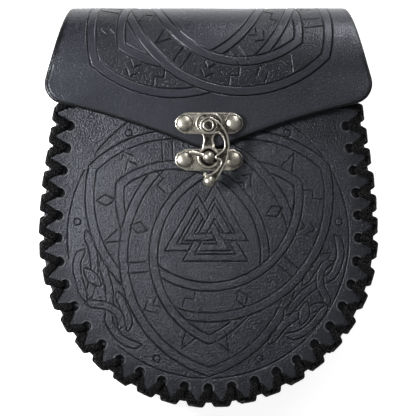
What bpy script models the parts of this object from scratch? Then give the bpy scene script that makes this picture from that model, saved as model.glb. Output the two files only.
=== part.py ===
"""A black leather belt pouch with a fold-over flap, a laced gusset and a metal swing clasp.

The pouch lies on its back. +X runs across it, +Y runs up towards the fold and +Z points out of
its front. The origin is below the middle of its outline, on the surface that it lies on. Shapes
are worked out from the body centre, the middle of the round bottom, and are placed by one empty.
"""

import math

import bmesh
import bpy
from mathutils import Matrix, Vector

MM = 0.001
GAP = 0.3 * MM

# Leather
LEATHER = 2.4 * MM
GUSSET_LEATHER = 1.8 * MM
LOOP_LEATHER = 2.2 * MM

# Body outline, along the line of lace holes
HOLE_CIRCLE = 66.3 * MM
SHOULDER_RADIUS = 190.0 * MM
SIDE_LEAN = math.radians(9.0)
EDGE_MARGIN = 6.4 * MM
MOUTH_HEIGHT = 74.8 * MM
BODY_DEPTH = 35.0 * MM
CROWN = 3.2 * MM
CROWN_INSET = 4.4 * MM
CROWN_MOUTH_INSET = 3.0 * MM
CROWN_STEPS = (1.0, 0.78, 0.5, 0.22)
BELLOWS = 1.6 * MM
GUSSET_INSET = 5.0 * MM
GUSSET_BEND = 2.6 * MM

# Lace
ROUND_PITCHES = 10
SIDE_PITCH = 9.95 * MM
LAST_HOLE_MARGIN = 4.4 * MM
FRONT_HOLE = 2.4 * MM
HIDDEN_HOLE = 2.5 * MM
LACE_WIDTH = 2.8 * MM
LACE_THICK = 0.9 * MM
LACE_CLEARANCE = 0.2 * MM

# Flap
FOLD_RISE = 26.0 * MM
FOLD_STEPS = 12
NECK_WIDTH = 120.0 * MM
FLAP_FLARE = 0.282
FLAP_CORNER_DROP = 13.9 * MM
FLAP_CORNER_RADIUS = 9.0 * MM
FLAP_TIP_DROP = 35.2 * MM
FLAP_TIP_SLOPE = 0.44
FLAP_CORNER_SLOPE = 0.187
FLAP_LIFT = 0.5 * MM

# Belt loops
LOOP_SPACING = 62.0 * MM
LOOP_WIDTH = 26.0 * MM
LOOP_TUNNEL = 5.0 * MM
LOOP_TOP = 62.0 * MM
LOOP_LENGTH = 96.0 * MM
LOOP_TAB = 10.0 * MM
LOOP_RAMP = 8.0 * MM

# Clasp
PLATE_THICK = 1.2 * MM
PLATES_MIDDLE = 0.3 * MM
UPPER_PLATE = (28.4 * MM, 9.4 * MM)
UPPER_PLATE_RISE = 10.8 * MM
LOWER_PLATE = (27.7 * MM, 9.6 * MM)
LOWER_PLATE_DROP = 5.2 * MM
RIVET_SPACING = 21.6 * MM
RIVET_RADIUS = 3.4 * MM
RIVET_RISE = 1.5 * MM
RIVET_SHANK = 1.1 * MM
RIVET_BACK = 2.4 * MM
RIVET_BACK_THICK = 0.6 * MM
BORE_CLEARANCE = 0.2 * MM
BOSS_WIDTH = 10.4 * MM
BOSS_RISE = 1.6 * MM
HOOK_MIDDLE = 0.1 * MM
PIVOT_DROP = 1.0 * MM
PIVOT_HEAD = 2.5 * MM
PIVOT_HEAD_THICK = 0.8 * MM
PIVOT_SHANK = 1.4 * MM
TONGUE_NECK = 4.6 * MM
TONGUE_ROOT = 6.4 * MM
RING_RADIUS = 4.9 * MM
RING_HOLE = 3.7 * MM
POST_RISE = 1.2 * MM
POST_BALL = 2.35 * MM
POST_NECK = 1.5 * MM
POST_HEIGHT = 4.4 * MM
FINGER_LENGTH = 9.0 * MM
FINGER_ANGLE = math.radians(164.0)
FINGER_RADIUS = 0.75 * MM
HOOK_THICK = 1.8 * MM
HOOK_REACH = 24.5 * MM
HOOK_BOSS = 3.9 * MM
HOOK_BALL = 2.6 * MM
HOOK_KNOB = 0.8 * MM
# Edges of the hook's arm from its pivot, in shares of HOOK_REACH: (across, along)
HOOK_OUTER_EDGE = (
    (0.167, 0.084),
    (0.278, -0.049),
    (0.349, -0.192),
    (0.376, -0.337),
    (0.367, -0.469),
    (0.337, -0.624),
    (0.278, -0.747),
    (0.167, -0.951),
    (0.080, -1.020),
)
HOOK_INNER_EDGE = (
    (-0.045, -0.980),
    (-0.050, -0.890),
    (0.073, -0.849),
    (0.180, -0.747),
    (0.222, -0.665),
    (0.196, -0.620),
    (0.135, -0.606),
    (0.118, -0.571),
    (0.131, -0.535),
    (0.257, -0.433),
    (0.282, -0.337),
    (0.253, -0.216),
    (0.180, -0.135),
)
HOOK_KNOB_AT = (-0.061, -0.878)

# The flap and the clasp follow the mouth: the plates hang from the flap's tip
FOLD_TOP = MOUTH_HEIGHT + FOLD_RISE
FLAP_CORNER_HEIGHT = MOUTH_HEIGHT - FLAP_CORNER_DROP
FLAP_TIP_HEIGHT = MOUTH_HEIGHT - FLAP_TIP_DROP
UPPER_PLATE_AT = (PLATES_MIDDLE, FLAP_TIP_HEIGHT + UPPER_PLATE_RISE)
LOWER_PLATE_AT = (PLATES_MIDDLE, FLAP_TIP_HEIGHT - LOWER_PLATE_DROP)
PIVOT_AT = (HOOK_MIDDLE, UPPER_PLATE_AT[1] - PIVOT_DROP)
POST_AT = (HOOK_MIDDLE, LOWER_PLATE_AT[1] + POST_RISE)


def crown_rise(height):
    """How far the crown stands out of the front at a height on its middle line."""
    share = height / (MOUTH_HEIGHT - CROWN_MOUTH_INSET)
    return CROWN * (1 - share * share)


# Heights above the surface that the pouch lies on
BACK_FACE = LOOP_LEATHER + LOOP_TUNNEL
FRONT_FACE = BACK_FACE + BODY_DEPTH
MIDDLE = (BACK_FACE + FRONT_FACE) / 2
LACE_FIRST_RISE = LACE_CLEARANCE + LACE_THICK / 2
LACE_RETURN_RISE = LACE_FIRST_RISE + LACE_THICK + LACE_CLEARANCE
LACE_PROUD = LACE_RETURN_RISE + LACE_THICK / 2
RIVETS_PROUD = crown_rise(UPPER_PLATE_AT[1] - RIVET_BACK) + RIVET_BACK_THICK + 2 * GAP
FLAP_BACK = FRONT_FACE + max(LACE_PROUD + FLAP_LIFT, RIVETS_PROUD)
FLAP_FACE = FLAP_BACK + LEATHER
UPPER_PLATE_BASE = FLAP_FACE + GAP
HOOK_BASE = UPPER_PLATE_BASE + PLATE_THICK + BOSS_RISE + GAP

# The round bottom is one quarter circle a side, then the shoulder and the straight side
QUARTER = HOLE_CIRCLE * math.pi / 2
SHOULDER = SHOULDER_RADIUS * SIDE_LEAN
STRAIGHT = (MOUTH_HEIGHT - SHOULDER_RADIUS * math.sin(SIDE_LEAN)) / math.cos(SIDE_LEAN)
SIDE_HOLES = int((SHOULDER + STRAIGHT - LAST_HOLE_MARGIN) / SIDE_PITCH)
LAST_HOLE = ROUND_PITCHES + SIDE_HOLES
HOLE_NUMBERS = range(-LAST_HOLE, LAST_HOLE + 1)
REACH_BELOW = HOLE_CIRCLE + EDGE_MARGIN + LACE_PROUD
BODY_CENTRE = (0.0, (REACH_BELOW - FOLD_TOP) / 2, 0.0)


# Scene, materials and small helpers
def clear_scene():
    for thing in list(bpy.data.objects):
        bpy.data.objects.remove(thing, do_unlink=True)


def new_collection(name):
    collection = bpy.data.collections.new(name)
    bpy.context.scene.collection.children.link(collection)
    return collection


def new_material(name, colour, roughness, metallic=0.0):
    material = bpy.data.materials.new(name)
    material.use_nodes = True
    shader = material.node_tree.nodes["Principled BSDF"]
    shader.inputs["Base Color"].default_value = (*colour, 1.0)
    shader.inputs["Roughness"].default_value = roughness
    shader.inputs["Metallic"].default_value = metallic
    return material


clear_scene()
POUCH = new_collection("belt_pouch")
GUIDES = new_collection("guides")
LEATHER_BLACK = new_material("black leather", (0.020, 0.021, 0.026), 0.45)
LACE_BLACK = new_material("black lace", (0.010, 0.010, 0.010), 0.70)
NICKEL = new_material("antique nickel", (0.42, 0.40, 0.36), 0.35, 1.0)
CENTRE = bpy.data.objects.new("body_centre", None)
CENTRE.location = BODY_CENTRE
GUIDES.objects.link(CENTRE)


def add_object(name, data, material, collection=POUCH, location=(0.0, 0.0, 0.0)):
    thing = bpy.data.objects.new(name, data)
    thing.location = location
    thing.parent = CENTRE
    data.materials.append(material)
    collection.objects.link(thing)
    return thing


def mesh_from(name, shape):
    mesh = bpy.data.meshes.new(name)
    shape.to_mesh(mesh)
    shape.free()
    mesh.shade_smooth()
    mesh.set_sharp_from_angle(angle=math.radians(35.0))
    return mesh


def thicken(thing, thickness):
    shell = thing.modifiers.new("thickness", "SOLIDIFY")
    shell.thickness = thickness
    shell.offset = 0.0
    shell.use_even_offset = True


def combine(thing, other, operation):
    other.hide_render = True
    other.display_type = "WIRE"
    step = thing.modifiers.new(other.name, "BOOLEAN")
    step.object = other
    step.operation = operation


def circle(centre, radius, sides, turn=0.0):
    """The corners of a regular polygon, anticlockwise."""
    angles = [turn + 2 * math.pi * i / sides for i in range(sides)]
    return [
        (centre[0] + radius * math.cos(a), centre[1] + radius * math.sin(a)) for a in angles
    ]


def arc(centre, radius, start, end, steps):
    """Points along an arc, its ends included."""
    angles = [start + (end - start) * i / steps for i in range(steps + 1)]
    return [
        (centre[0] + radius * math.cos(a), centre[1] + radius * math.sin(a)) for a in angles
    ]


def outline_mesh(name, outline, holes=(), thickness=0.0):
    """A flat outline with holes as a mesh: one layer of faces, or a closed plate."""
    curve = bpy.data.curves.new(name, "CURVE")
    curve.dimensions = "2D"
    curve.fill_mode = "BOTH"
    curve.extrude = thickness / 2
    for loop in (outline, *holes):
        spline = curve.splines.new("POLY")
        spline.points.add(len(loop) - 1)
        for point, (x, y) in zip(spline.points, loop):
            point.co = (x, y, 0.0, 1.0)
        spline.use_cyclic_u = True
    guide = bpy.data.objects.new(name, curve)
    GUIDES.objects.link(guide)
    drawn = guide.evaluated_get(bpy.context.evaluated_depsgraph_get())
    mesh = bpy.data.meshes.new_from_object(drawn)
    bpy.data.objects.remove(guide)
    shape = bmesh.new()
    shape.from_mesh(mesh)
    bmesh.ops.remove_doubles(shape, verts=shape.verts, dist=0.001 * MM)
    shape.to_mesh(mesh)
    shape.free()
    return mesh


def plate_mesh(name, outline, holes, base, thickness):
    """A flat plate whose underside is at the height base."""
    mesh = outline_mesh(name, outline, holes, thickness)
    mesh.transform(Matrix.Translation((0.0, 0.0, base + thickness / 2)))
    return mesh


def turned(name, profile, sides, material, centre, collection=POUCH):
    """A turned piece from a profile of (radius, height) that runs down its outer side."""
    mesh = bpy.data.meshes.new(name)
    points = [(radius, 0.0, height) for radius, height in profile]
    mesh.from_pydata(points, [(i, i + 1) for i in range(len(points) - 1)], [])
    thing = add_object(name, mesh, material, collection, (*centre, 0.0))
    spin = thing.modifiers.new("turn", "SCREW")
    spin.axis = "Z"
    spin.steps = sides
    spin.render_steps = sides
    spin.use_merge_vertices = True
    spin.merge_threshold = 0.00001
    spin.use_smooth_shade = True
    return thing


# The line of lace holes
def rim(length):
    """A point on the line of holes and its outward direction, by the length from the bottom."""
    side = math.copysign(1.0, length)
    length = abs(length)
    if length <= QUARTER:
        turn = length / HOLE_CIRCLE
        out = Vector((math.sin(turn), -math.cos(turn)))
        place = out * HOLE_CIRCLE
    else:
        turn = min((length - QUARTER) / SHOULDER_RADIUS, SIDE_LEAN)
        straight = max(length - QUARTER - SHOULDER, 0.0)
        out = Vector((math.cos(turn), math.sin(turn)))
        place = Vector((HOLE_CIRCLE - SHOULDER_RADIUS, 0.0)) + out * SHOULDER_RADIUS
        place += Vector((-out.y, out.x)) * straight
    return Vector((side * place.x, place.y)), Vector((side * out.x, out.y))


def hole_length(number):
    """The length along the rim to a hole, or between holes where the number isn't whole."""
    count = abs(number)
    length = QUARTER * min(count, ROUND_PITCHES) / ROUND_PITCHES
    length += SIDE_PITCH * max(count - ROUND_PITCHES, 0.0)
    return math.copysign(length, number)


def rim_line(offset, height=MOUTH_HEIGHT):
    """The rim moved outwards by an offset, from its left end at a height round to its right."""
    points = []
    for number in HOLE_NUMBERS:
        place, out = rim(hole_length(number))
        points.append(tuple(place + out * offset))
    place, out = rim(hole_length(LAST_HOLE))
    rise = (height - place.y - out.y * offset) / out.x
    x = place.x + out.x * offset - out.y * rise
    return [(-x, height), *points, (x, height)]


def lace_holes(radius, sides):
    """The lace holes as polygons, each turned to the rim."""
    holes = []
    for number in HOLE_NUMBERS:
        place, out = rim(hole_length(number))
        turn = math.atan2(out.y, out.x) + math.pi / sides
        holes.append(circle(place, radius, sides, turn))
    return holes


# Body
def front_panel():
    """The flat laced margin and, inside it, the crown that the filled pouch pushes out."""
    inner = rim_line(-CROWN_INSET, MOUTH_HEIGHT - CROWN_MOUTH_INSET)
    margin = outline_mesh("margin", rim_line(EDGE_MARGIN), [*lace_holes(FRONT_HOLE, 6), inner])
    shape = bmesh.new()
    shape.from_mesh(margin)
    rings = []
    for share in CROWN_STEPS:
        rise = CROWN * (1 - share * share)
        rings.append([shape.verts.new((x * share, y * share, rise)) for x, y in inner])
    for wide, narrow in zip(rings, rings[1:]):
        for i, corner in enumerate(wide):
            shape.faces.new((corner, wide[i - 1], narrow[i - 1], narrow[i]))
    shape.faces.new(rings[-1])
    bmesh.ops.remove_doubles(shape, verts=shape.verts, dist=0.001 * MM)
    bmesh.ops.recalc_face_normals(shape, faces=shape.faces)
    bmesh.ops.translate(shape, vec=(0.0, 0.0, FRONT_FACE - LEATHER / 2), verts=shape.verts)
    thing = add_object("front_panel", mesh_from("front_panel", shape), LEATHER_BLACK)
    thicken(thing, LEATHER)
    for centre in rivet_places(LOWER_PLATE_AT):
        bore = turned_bore("front_bore", centre, FRONT_FACE + CROWN / 2, LEATHER * 4)
        combine(thing, bore, "DIFFERENCE")


def gusset():
    """The side strip: flanges under both panels, a soft bend and a slightly drawn-in wall."""
    base = FRONT_FACE - LEATHER - GAP - GUSSET_LEATHER / 2
    flange = rim_line(EDGE_MARGIN) + rim_line(-GUSSET_INSET + GUSSET_BEND)[::-1]
    shape = bmesh.new()
    shape.from_mesh(outline_mesh("flange", flange, lace_holes(HIDDEN_HOLE, 4)))
    bmesh.ops.translate(shape, vec=(0.0, 0.0, base), verts=shape.verts)
    quarter = GUSSET_BEND * math.sqrt(0.5)
    rows = (
        (GUSSET_BEND - GUSSET_INSET, base),
        (quarter - GUSSET_INSET, base - GUSSET_BEND + quarter),
        (-GUSSET_INSET, base - GUSSET_BEND),
        (-GUSSET_INSET - BELLOWS, MIDDLE),
    )
    lines = []
    for offset, height in rows:
        lines.append([shape.verts.new((x, y, height)) for x, y in rim_line(offset)])
    for upper, lower in zip(lines, lines[1:]):
        for i in range(len(upper) - 1):
            shape.faces.new((upper[i], upper[i + 1], lower[i + 1], lower[i]))
    bmesh.ops.remove_doubles(shape, verts=shape.verts, dist=0.001 * MM)
    bmesh.ops.recalc_face_normals(shape, faces=shape.faces)
    bmesh.ops.translate(shape, vec=(0.0, 0.0, -MIDDLE), verts=shape.verts)
    thing = add_object("gusset", mesh_from("gusset", shape), LEATHER_BLACK)
    thing.location.z = MIDDLE
    mirror = thing.modifiers.new("back half", "MIRROR")
    mirror.use_axis = (False, False, True)
    mirror.merge_threshold = 0.00001
    thicken(thing, GUSSET_LEATHER)


def fold_point(turn):
    """The middle of the fold's leather, from the back at turn 0 to the front at pi."""
    back = BACK_FACE + LEATHER / 2
    front = FLAP_BACK + LEATHER / 2
    height = FOLD_TOP - LEATHER / 2 - MOUTH_HEIGHT
    y = MOUTH_HEIGHT + height * math.sin(turn)
    z = (back + front) / 2 - (front - back) / 2 * math.cos(turn)
    return y, z


def flap_outline(half_root):
    """The flat front of the flap, from its left root round the tip to its right root."""
    half_corner = half_root + FLAP_FLARE * (MOUTH_HEIGHT - FLAP_CORNER_HEIGHT)
    steps = 6
    edge = []
    for i in range(steps + 1):
        x = half_corner * i / steps
        bend = (FLAP_TIP_SLOPE - FLAP_CORNER_SLOPE) / (2 * half_corner)
        y = FLAP_CORNER_HEIGHT
        y -= FLAP_TIP_SLOPE * (half_corner - x) - bend * (half_corner**2 - x**2)
        edge.append((x, max(y, FLAP_TIP_HEIGHT)))
    return half_corner, edge


def rounded_corner(before, corner, after, radius, steps):
    """An arc of a radius that joins the lines before-corner and corner-after."""
    corner = Vector(corner)
    one = (Vector(before) - corner).normalized()
    two = (Vector(after) - corner).normalized()
    half = one.angle(two) / 2
    middle = corner + (one + two).normalized() * radius / math.sin(half)
    start = corner + one * radius / math.tan(half) - middle
    end = corner + two * radius / math.tan(half) - middle
    sweep = start.angle_signed(end)
    points = []
    for i in range(steps + 1):
        turn = Matrix.Rotation(-sweep * i / steps, 2)
        points.append(tuple(middle + turn @ start))
    return points


def back_and_flap():
    """One sheet: the flat back with its lace holes, the fold over the mouth and the flap."""
    shape = bmesh.new()
    back = rim_line(EDGE_MARGIN)
    back_mesh = outline_mesh("back", back, lace_holes(HIDDEN_HOLE, 4))
    back_mesh.transform(Matrix.Translation((0.0, 0.0, BACK_FACE + LEATHER / 2)))
    shape.from_mesh(back_mesh)
    # The fold's rows widen from the neck at its top by the flap's flare
    rows = []
    length = 0.0
    turns = [math.pi * i / FOLD_STEPS for i in range(FOLD_STEPS + 1)]
    lengths = [0.0]
    for before, after in zip(turns, turns[1:]):
        length += (Vector(fold_point(after)) - Vector(fold_point(before))).length
        lengths.append(length)
    for turn, reached in zip(turns, lengths):
        y, z = fold_point(turn)
        past = reached - length / 2
        if past < 0.0:
            half = NECK_WIDTH / 2 + (back[-1][0] - NECK_WIDTH / 2) * (-2 * past / length)
        else:
            half = NECK_WIDTH / 2 + FLAP_FLARE * past
        rows.append((shape.verts.new((-half, y, z)), shape.verts.new((half, y, z))))
    for before, after in zip(rows, rows[1:]):
        shape.faces.new((before[0], before[1], after[1], after[0]))
    root = rows[-1][1].co.x
    half_corner, edge = flap_outline(root)
    side = (half_corner, FLAP_CORNER_HEIGHT)
    corner = rounded_corner((root, MOUTH_HEIGHT), side, edge[-2], FLAP_CORNER_RADIUS, 6)
    right = [(root, MOUTH_HEIGHT), *corner, *edge[-2:0:-1], edge[0]]
    outline = right + [(-x, y) for x, y in right[-2::-1]]
    bores = [
        circle(centre, RIVET_SHANK + BORE_CLEARANCE, 8) for centre in rivet_places(UPPER_PLATE_AT)
    ]
    flap_mesh = outline_mesh("flap", outline, bores)
    flap_mesh.transform(Matrix.Translation((0.0, 0.0, FLAP_BACK + LEATHER / 2)))
    shape.from_mesh(flap_mesh)
    bmesh.ops.remove_doubles(shape, verts=shape.verts, dist=0.001 * MM)
    bmesh.ops.recalc_face_normals(shape, faces=shape.faces)
    thing = add_object("back_and_flap", mesh_from("back_and_flap", shape), LEATHER_BLACK)
    thicken(thing, LEATHER)


def belt_loop(name, x):
    """A strap with both ends flat on the back panel and a raised middle that a belt goes under."""
    seat = BACK_FACE - GAP - LOOP_LEATHER / 2
    low = LOOP_LEATHER / 2
    bottom = LOOP_TOP - LOOP_LENGTH
    profile = (
        (LOOP_TOP, seat),
        (LOOP_TOP - LOOP_TAB, seat),
        (LOOP_TOP - LOOP_TAB - LOOP_RAMP, low),
        (bottom + LOOP_TAB + LOOP_RAMP, low),
        (bottom + LOOP_TAB, seat),
        (bottom, seat),
    )
    shape = bmesh.new()
    left = [shape.verts.new((-LOOP_WIDTH / 2, y, z)) for y, z in profile]
    right = [shape.verts.new((LOOP_WIDTH / 2, y, z)) for y, z in profile]
    for i in range(len(profile) - 1):
        shape.faces.new((left[i], left[i + 1], right[i + 1], right[i]))
    thing = add_object(name, mesh_from(name, shape), LEATHER_BLACK, location=(x, 0.0, 0.0))
    thicken(thing, LOOP_LEATHER)


# Lace
def lace_pass(name, top, bottom, rise, hole_shift, direction):
    """One pass of flat lace along an edge: up each hole, out, over the edge and under.

    Each cross-section lies along the rim. The return pass goes outside the first one all the
    way, because it rises further from the leather and lies nearer the pouch in each hole.
    """
    reach = EDGE_MARGIN + rise
    thick = top - bottom + 2 * rise
    travel = thick / (2 * (reach - hole_shift) + thick)
    half = LACE_THICK / 2
    shape = bmesh.new()
    sections = []

    def add_section(number, along, out_by, height, wide, out_turn, up_turn):
        place, out = rim(hole_length(number))
        tangent = Vector((-out.y, out.x))
        middle = place + out * out_by + tangent * along
        corners = []
        for side, layer in ((-1, -1), (1, -1), (1, 1), (-1, 1)):
            flat = middle + tangent * side * wide / 2 + out * layer * out_turn * half
            corners.append(shape.verts.new((flat.x, flat.y, height + layer * up_turn * half)))
        sections.append(corners)

    over = top + rise
    under = bottom - rise
    numbers = list(HOLE_NUMBERS)[::direction]
    for number in numbers:
        add_section(number, 0.0, hole_shift, under, LACE_WIDTH, -1, -1)
        if number == numbers[-1]:
            add_section(number, 0.0, hole_shift, top, LACE_WIDTH, -1, 0)
            break
        add_section(number, 0.0, hole_shift, over, LACE_WIDTH, -1, 1)
        place, _ = rim(hole_length(number))
        after, _ = rim(hole_length(number + direction))
        pitch = (after - place).length
        along = direction * travel * pitch / 2
        wide = LACE_WIDTH * math.hypot(1.0, pitch * (1 - travel) / 2 / (reach - hole_shift))
        middle = number + direction / 2
        add_section(middle, -along, reach, over, wide, 1, 1)
        add_section(middle, along, reach, under, wide, 1, -1)
    for before, after in zip(sections, sections[1:]):
        for i in range(4):
            shape.faces.new((before[i - 1], before[i], after[i], after[i - 1]))
    shape.faces.new(sections[0][::-1])
    shape.faces.new(sections[-1])
    bmesh.ops.recalc_face_normals(shape, faces=shape.faces)
    add_object(name, mesh_from(name, shape), LACE_BLACK)


def laces():
    depth = LEATHER + GAP + GUSSET_LEATHER
    courses = (("front", FRONT_FACE, FRONT_FACE - depth), ("back", BACK_FACE + depth, BACK_FACE))
    for side, top, bottom in courses:
        shift = (LACE_THICK + GAP) / 2
        lace_pass(f"{side}_lace_first", top, bottom, LACE_FIRST_RISE, shift, 1)
        lace_pass(f"{side}_lace_return", top, bottom, LACE_RETURN_RISE, -shift, -1)


# Clasp
def rivet_places(plate_at):
    return [(plate_at[0] + side * RIVET_SPACING / 2, plate_at[1]) for side in (-1, 1)]


def turned_bore(name, centre, height, depth):
    """A round cutter for a rivet's or pin's bore."""
    radius = RIVET_SHANK + BORE_CLEARANCE
    profile = (
        (0.0, height + depth / 2),
        (radius, height + depth / 2),
        (radius, height - depth / 2),
        (0.0, height - depth / 2),
    )
    return turned(name, profile, 8, NICKEL, centre, GUIDES)


def stadium(centre, size, steps=8):
    """A bar with round ends, anticlockwise from its lower right."""
    radius = size[1] / 2
    half = size[0] / 2 - radius
    right = arc((centre[0] + half, centre[1]), radius, -math.pi / 2, math.pi / 2, steps)
    left = arc((centre[0] - half, centre[1]), radius, math.pi / 2, 3 * math.pi / 2, steps)
    return right, left


def upper_plate():
    """The plate on the flap with its raised middle, and the tongue that ends in a ring."""
    right, left = stadium(UPPER_PLATE_AT, UPPER_PLATE)
    root_y = UPPER_PLATE_AT[1] - UPPER_PLATE[1] / 2
    neck_y = (root_y + POST_AT[1] + RING_RADIUS) / 2
    ring = arc(POST_AT, RING_RADIUS, math.radians(130), math.radians(410), 16)
    x = POST_AT[0]
    tongue = [
        (x - TONGUE_ROOT / 2, UPPER_PLATE_AT[1]),
        (x - TONGUE_ROOT / 2, root_y),
        (x - TONGUE_NECK / 2, neck_y + TONGUE_NECK / 4),
        (x - TONGUE_NECK / 2, neck_y - TONGUE_NECK / 4),
        *ring,
        (x + TONGUE_NECK / 2, neck_y - TONGUE_NECK / 4),
        (x + TONGUE_NECK / 2, neck_y + TONGUE_NECK / 4),
        (x + TONGUE_ROOT / 2, root_y),
        (x + TONGUE_ROOT / 2, UPPER_PLATE_AT[1]),
    ]
    bores = [
        circle(centre, RIVET_SHANK + BORE_CLEARANCE, 8) for centre in rivet_places(UPPER_PLATE_AT)
    ]
    mesh = plate_mesh("plate", right + left, bores, UPPER_PLATE_BASE, PLATE_THICK)
    thing = add_object("upper_plate", mesh, NICKEL)
    eye = [circle(POST_AT, RING_HOLE, 16)]
    tongue_mesh = plate_mesh("tongue", tongue, eye, UPPER_PLATE_BASE, PLATE_THICK)
    combine(thing, add_object("tongue", tongue_mesh, NICKEL, GUIDES), "UNION")
    height = UPPER_PLATE[1] - 2 * GAP
    boss_right, boss_left = stadium(UPPER_PLATE_AT, (BOSS_WIDTH, height), 6)
    boss_base = UPPER_PLATE_BASE + PLATE_THICK / 2
    boss_mesh = plate_mesh("boss", boss_right + boss_left, (), boss_base, PLATE_THICK / 2 + BOSS_RISE)
    combine(thing, add_object("boss", boss_mesh, NICKEL, GUIDES), "UNION")
    radius = PIVOT_SHANK + BORE_CLEARANCE
    top = HOOK_BASE + HOOK_THICK
    low = UPPER_PLATE_BASE - PLATE_THICK
    profile = ((0.0, top), (radius, top), (radius, low), (0.0, low))
    combine(thing, turned("pivot_bore", profile, 10, NICKEL, PIVOT_AT, GUIDES), "DIFFERENCE")


def lower_plate_base():
    """The plate's underside clears the highest point of the crown under it."""
    return FRONT_FACE + crown_rise(LOWER_PLATE_AT[1] - LOWER_PLATE[1] / 2) + GAP


def lower_plate():
    """The plate on the front with the post, its ball and the finger that the ring slides over."""
    right, left = stadium(LOWER_PLATE_AT, LOWER_PLATE)
    holes = [
        circle(centre, RIVET_SHANK + BORE_CLEARANCE, 8) for centre in rivet_places(LOWER_PLATE_AT)
    ]
    base = lower_plate_base()
    mesh = plate_mesh("catch plate", right + left, holes, base, PLATE_THICK)
    thing = add_object("lower_plate", mesh, NICKEL)
    ball = base + PLATE_THICK + POST_HEIGHT
    start = math.asin(POST_NECK / POST_BALL)
    profile = [(0.0, ball + POST_BALL)]
    for i in range(1, 6):
        turn = (math.pi - start) * i / 5
        profile.append((POST_BALL * math.sin(turn), ball + POST_BALL * math.cos(turn)))
    profile += [(POST_NECK, base + PLATE_THICK / 2), (0.0, base + PLATE_THICK / 2)]
    combine(thing, turned("post", profile, 10, NICKEL, POST_AT, GUIDES), "UNION")
    finger = bmesh.new()
    bmesh.ops.create_cone(
        finger,
        cap_ends=True,
        segments=8,
        radius1=FINGER_RADIUS,
        radius2=FINGER_RADIUS,
        depth=FINGER_LENGTH,
        matrix=Matrix.Translation((FINGER_LENGTH / 2, 0.0, 0.0)) @ Matrix.Rotation(math.pi / 2, 4, "Y"),
    )
    place = Matrix.Translation((*POST_AT, ball - FINGER_RADIUS / 2))
    finger.transform(place @ Matrix.Rotation(FINGER_ANGLE, 4, "Z"))
    guide = add_object("finger", mesh_from("finger", finger), NICKEL, GUIDES)
    combine(thing, guide, "UNION")


def swing_hook():
    """The flat hook with a round boss at its pivot, a spur towards the post and a ball end."""
    outer = [(x * HOOK_REACH, y * HOOK_REACH) for x, y in HOOK_OUTER_EDGE]
    inner = [(x * HOOK_REACH, y * HOOK_REACH) for x, y in HOOK_INNER_EDGE]
    boss = arc((0.0, 0.0), HOOK_BOSS, math.radians(-80), math.radians(-310), 14)
    bore = circle((0.0, 0.0), PIVOT_SHANK + BORE_CLEARANCE, 10)
    mesh = plate_mesh("arm", outer + inner + boss, [bore], 0.0, HOOK_THICK)
    thing = add_object("swing_hook", mesh, NICKEL, location=(*PIVOT_AT, HOOK_BASE))
    ends = (
        ("hook_ball", (0.012, -1.0), HOOK_BALL, 10, 8),
        ("hook_knob", HOOK_KNOB_AT, HOOK_KNOB, 8, 6),
    )
    for name, (across, along), radius, around, up in ends:
        ball = bmesh.new()
        bmesh.ops.create_uvsphere(ball, u_segments=around, v_segments=up, radius=radius)
        place = (
            PIVOT_AT[0] + across * HOOK_REACH,
            PIVOT_AT[1] + along * HOOK_REACH,
            HOOK_BASE + HOOK_THICK / 2,
        )
        guide = add_object(name, mesh_from(name, ball), NICKEL, GUIDES, place)
        combine(thing, guide, "UNION")


def dome_rivet(name, centre, seat, leather_back):
    """A dome head on the plate, a shank through plate and leather, and a flat head behind."""
    dome = [
        (RIVET_RADIUS * math.sin(turn), seat + GAP + RIVET_RISE * math.cos(turn))
        for turn in (math.pi * i / 6 for i in range(4))
    ]
    back = leather_back - GAP
    profile = [
        *dome,
        (RIVET_SHANK, seat + GAP),
        (RIVET_SHANK, back),
        (RIVET_BACK, back),
        (RIVET_BACK, back - RIVET_BACK_THICK),
        (0.0, back - RIVET_BACK_THICK),
    ]
    turned(name, profile, 10, NICKEL, centre)


def rivets():
    upper_seat = UPPER_PLATE_BASE + PLATE_THICK
    lower_seat = lower_plate_base() + PLATE_THICK
    crown_back = FRONT_FACE - LEATHER + crown_rise(LOWER_PLATE_AT[1] + RIVET_BACK) - GAP
    for side, centre in zip(("left", "right"), rivet_places(UPPER_PLATE_AT)):
        dome_rivet(f"upper_rivet_{side}", centre, upper_seat, FLAP_BACK)
    for side, centre in zip(("left", "right"), rivet_places(LOWER_PLATE_AT)):
        dome_rivet(f"lower_rivet_{side}", centre, lower_seat, crown_back)


def pivot_rivet():
    """The flat head above the hook and the shank down through hook and plate."""
    seat = HOOK_BASE + HOOK_THICK + GAP
    profile = (
        (0.0, seat + PIVOT_HEAD_THICK),
        (PIVOT_HEAD, seat + PIVOT_HEAD_THICK),
        (PIVOT_HEAD, seat),
        (PIVOT_SHANK, seat),
        (PIVOT_SHANK, UPPER_PLATE_BASE),
        (0.0, UPPER_PLATE_BASE),
    )
    turned("pivot_rivet", profile, 12, NICKEL, PIVOT_AT)


front_panel()
gusset()
back_and_flap()
laces()
belt_loop("belt_loop_left", -LOOP_SPACING / 2)
belt_loop("belt_loop_right", LOOP_SPACING / 2)
upper_plate()
lower_plate()
swing_hook()
rivets()
pivot_rivet()
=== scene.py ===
"""A black leather belt pouch with a laced edge, tooled knot ornament and a metal swing clasp."""

import math

import bmesh
import bpy
import numpy as np
from mathutils import Matrix, Vector, noise
from mathutils.geometry import delaunay_2d_cdt
from mathutils.kdtree import KDTree


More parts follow.
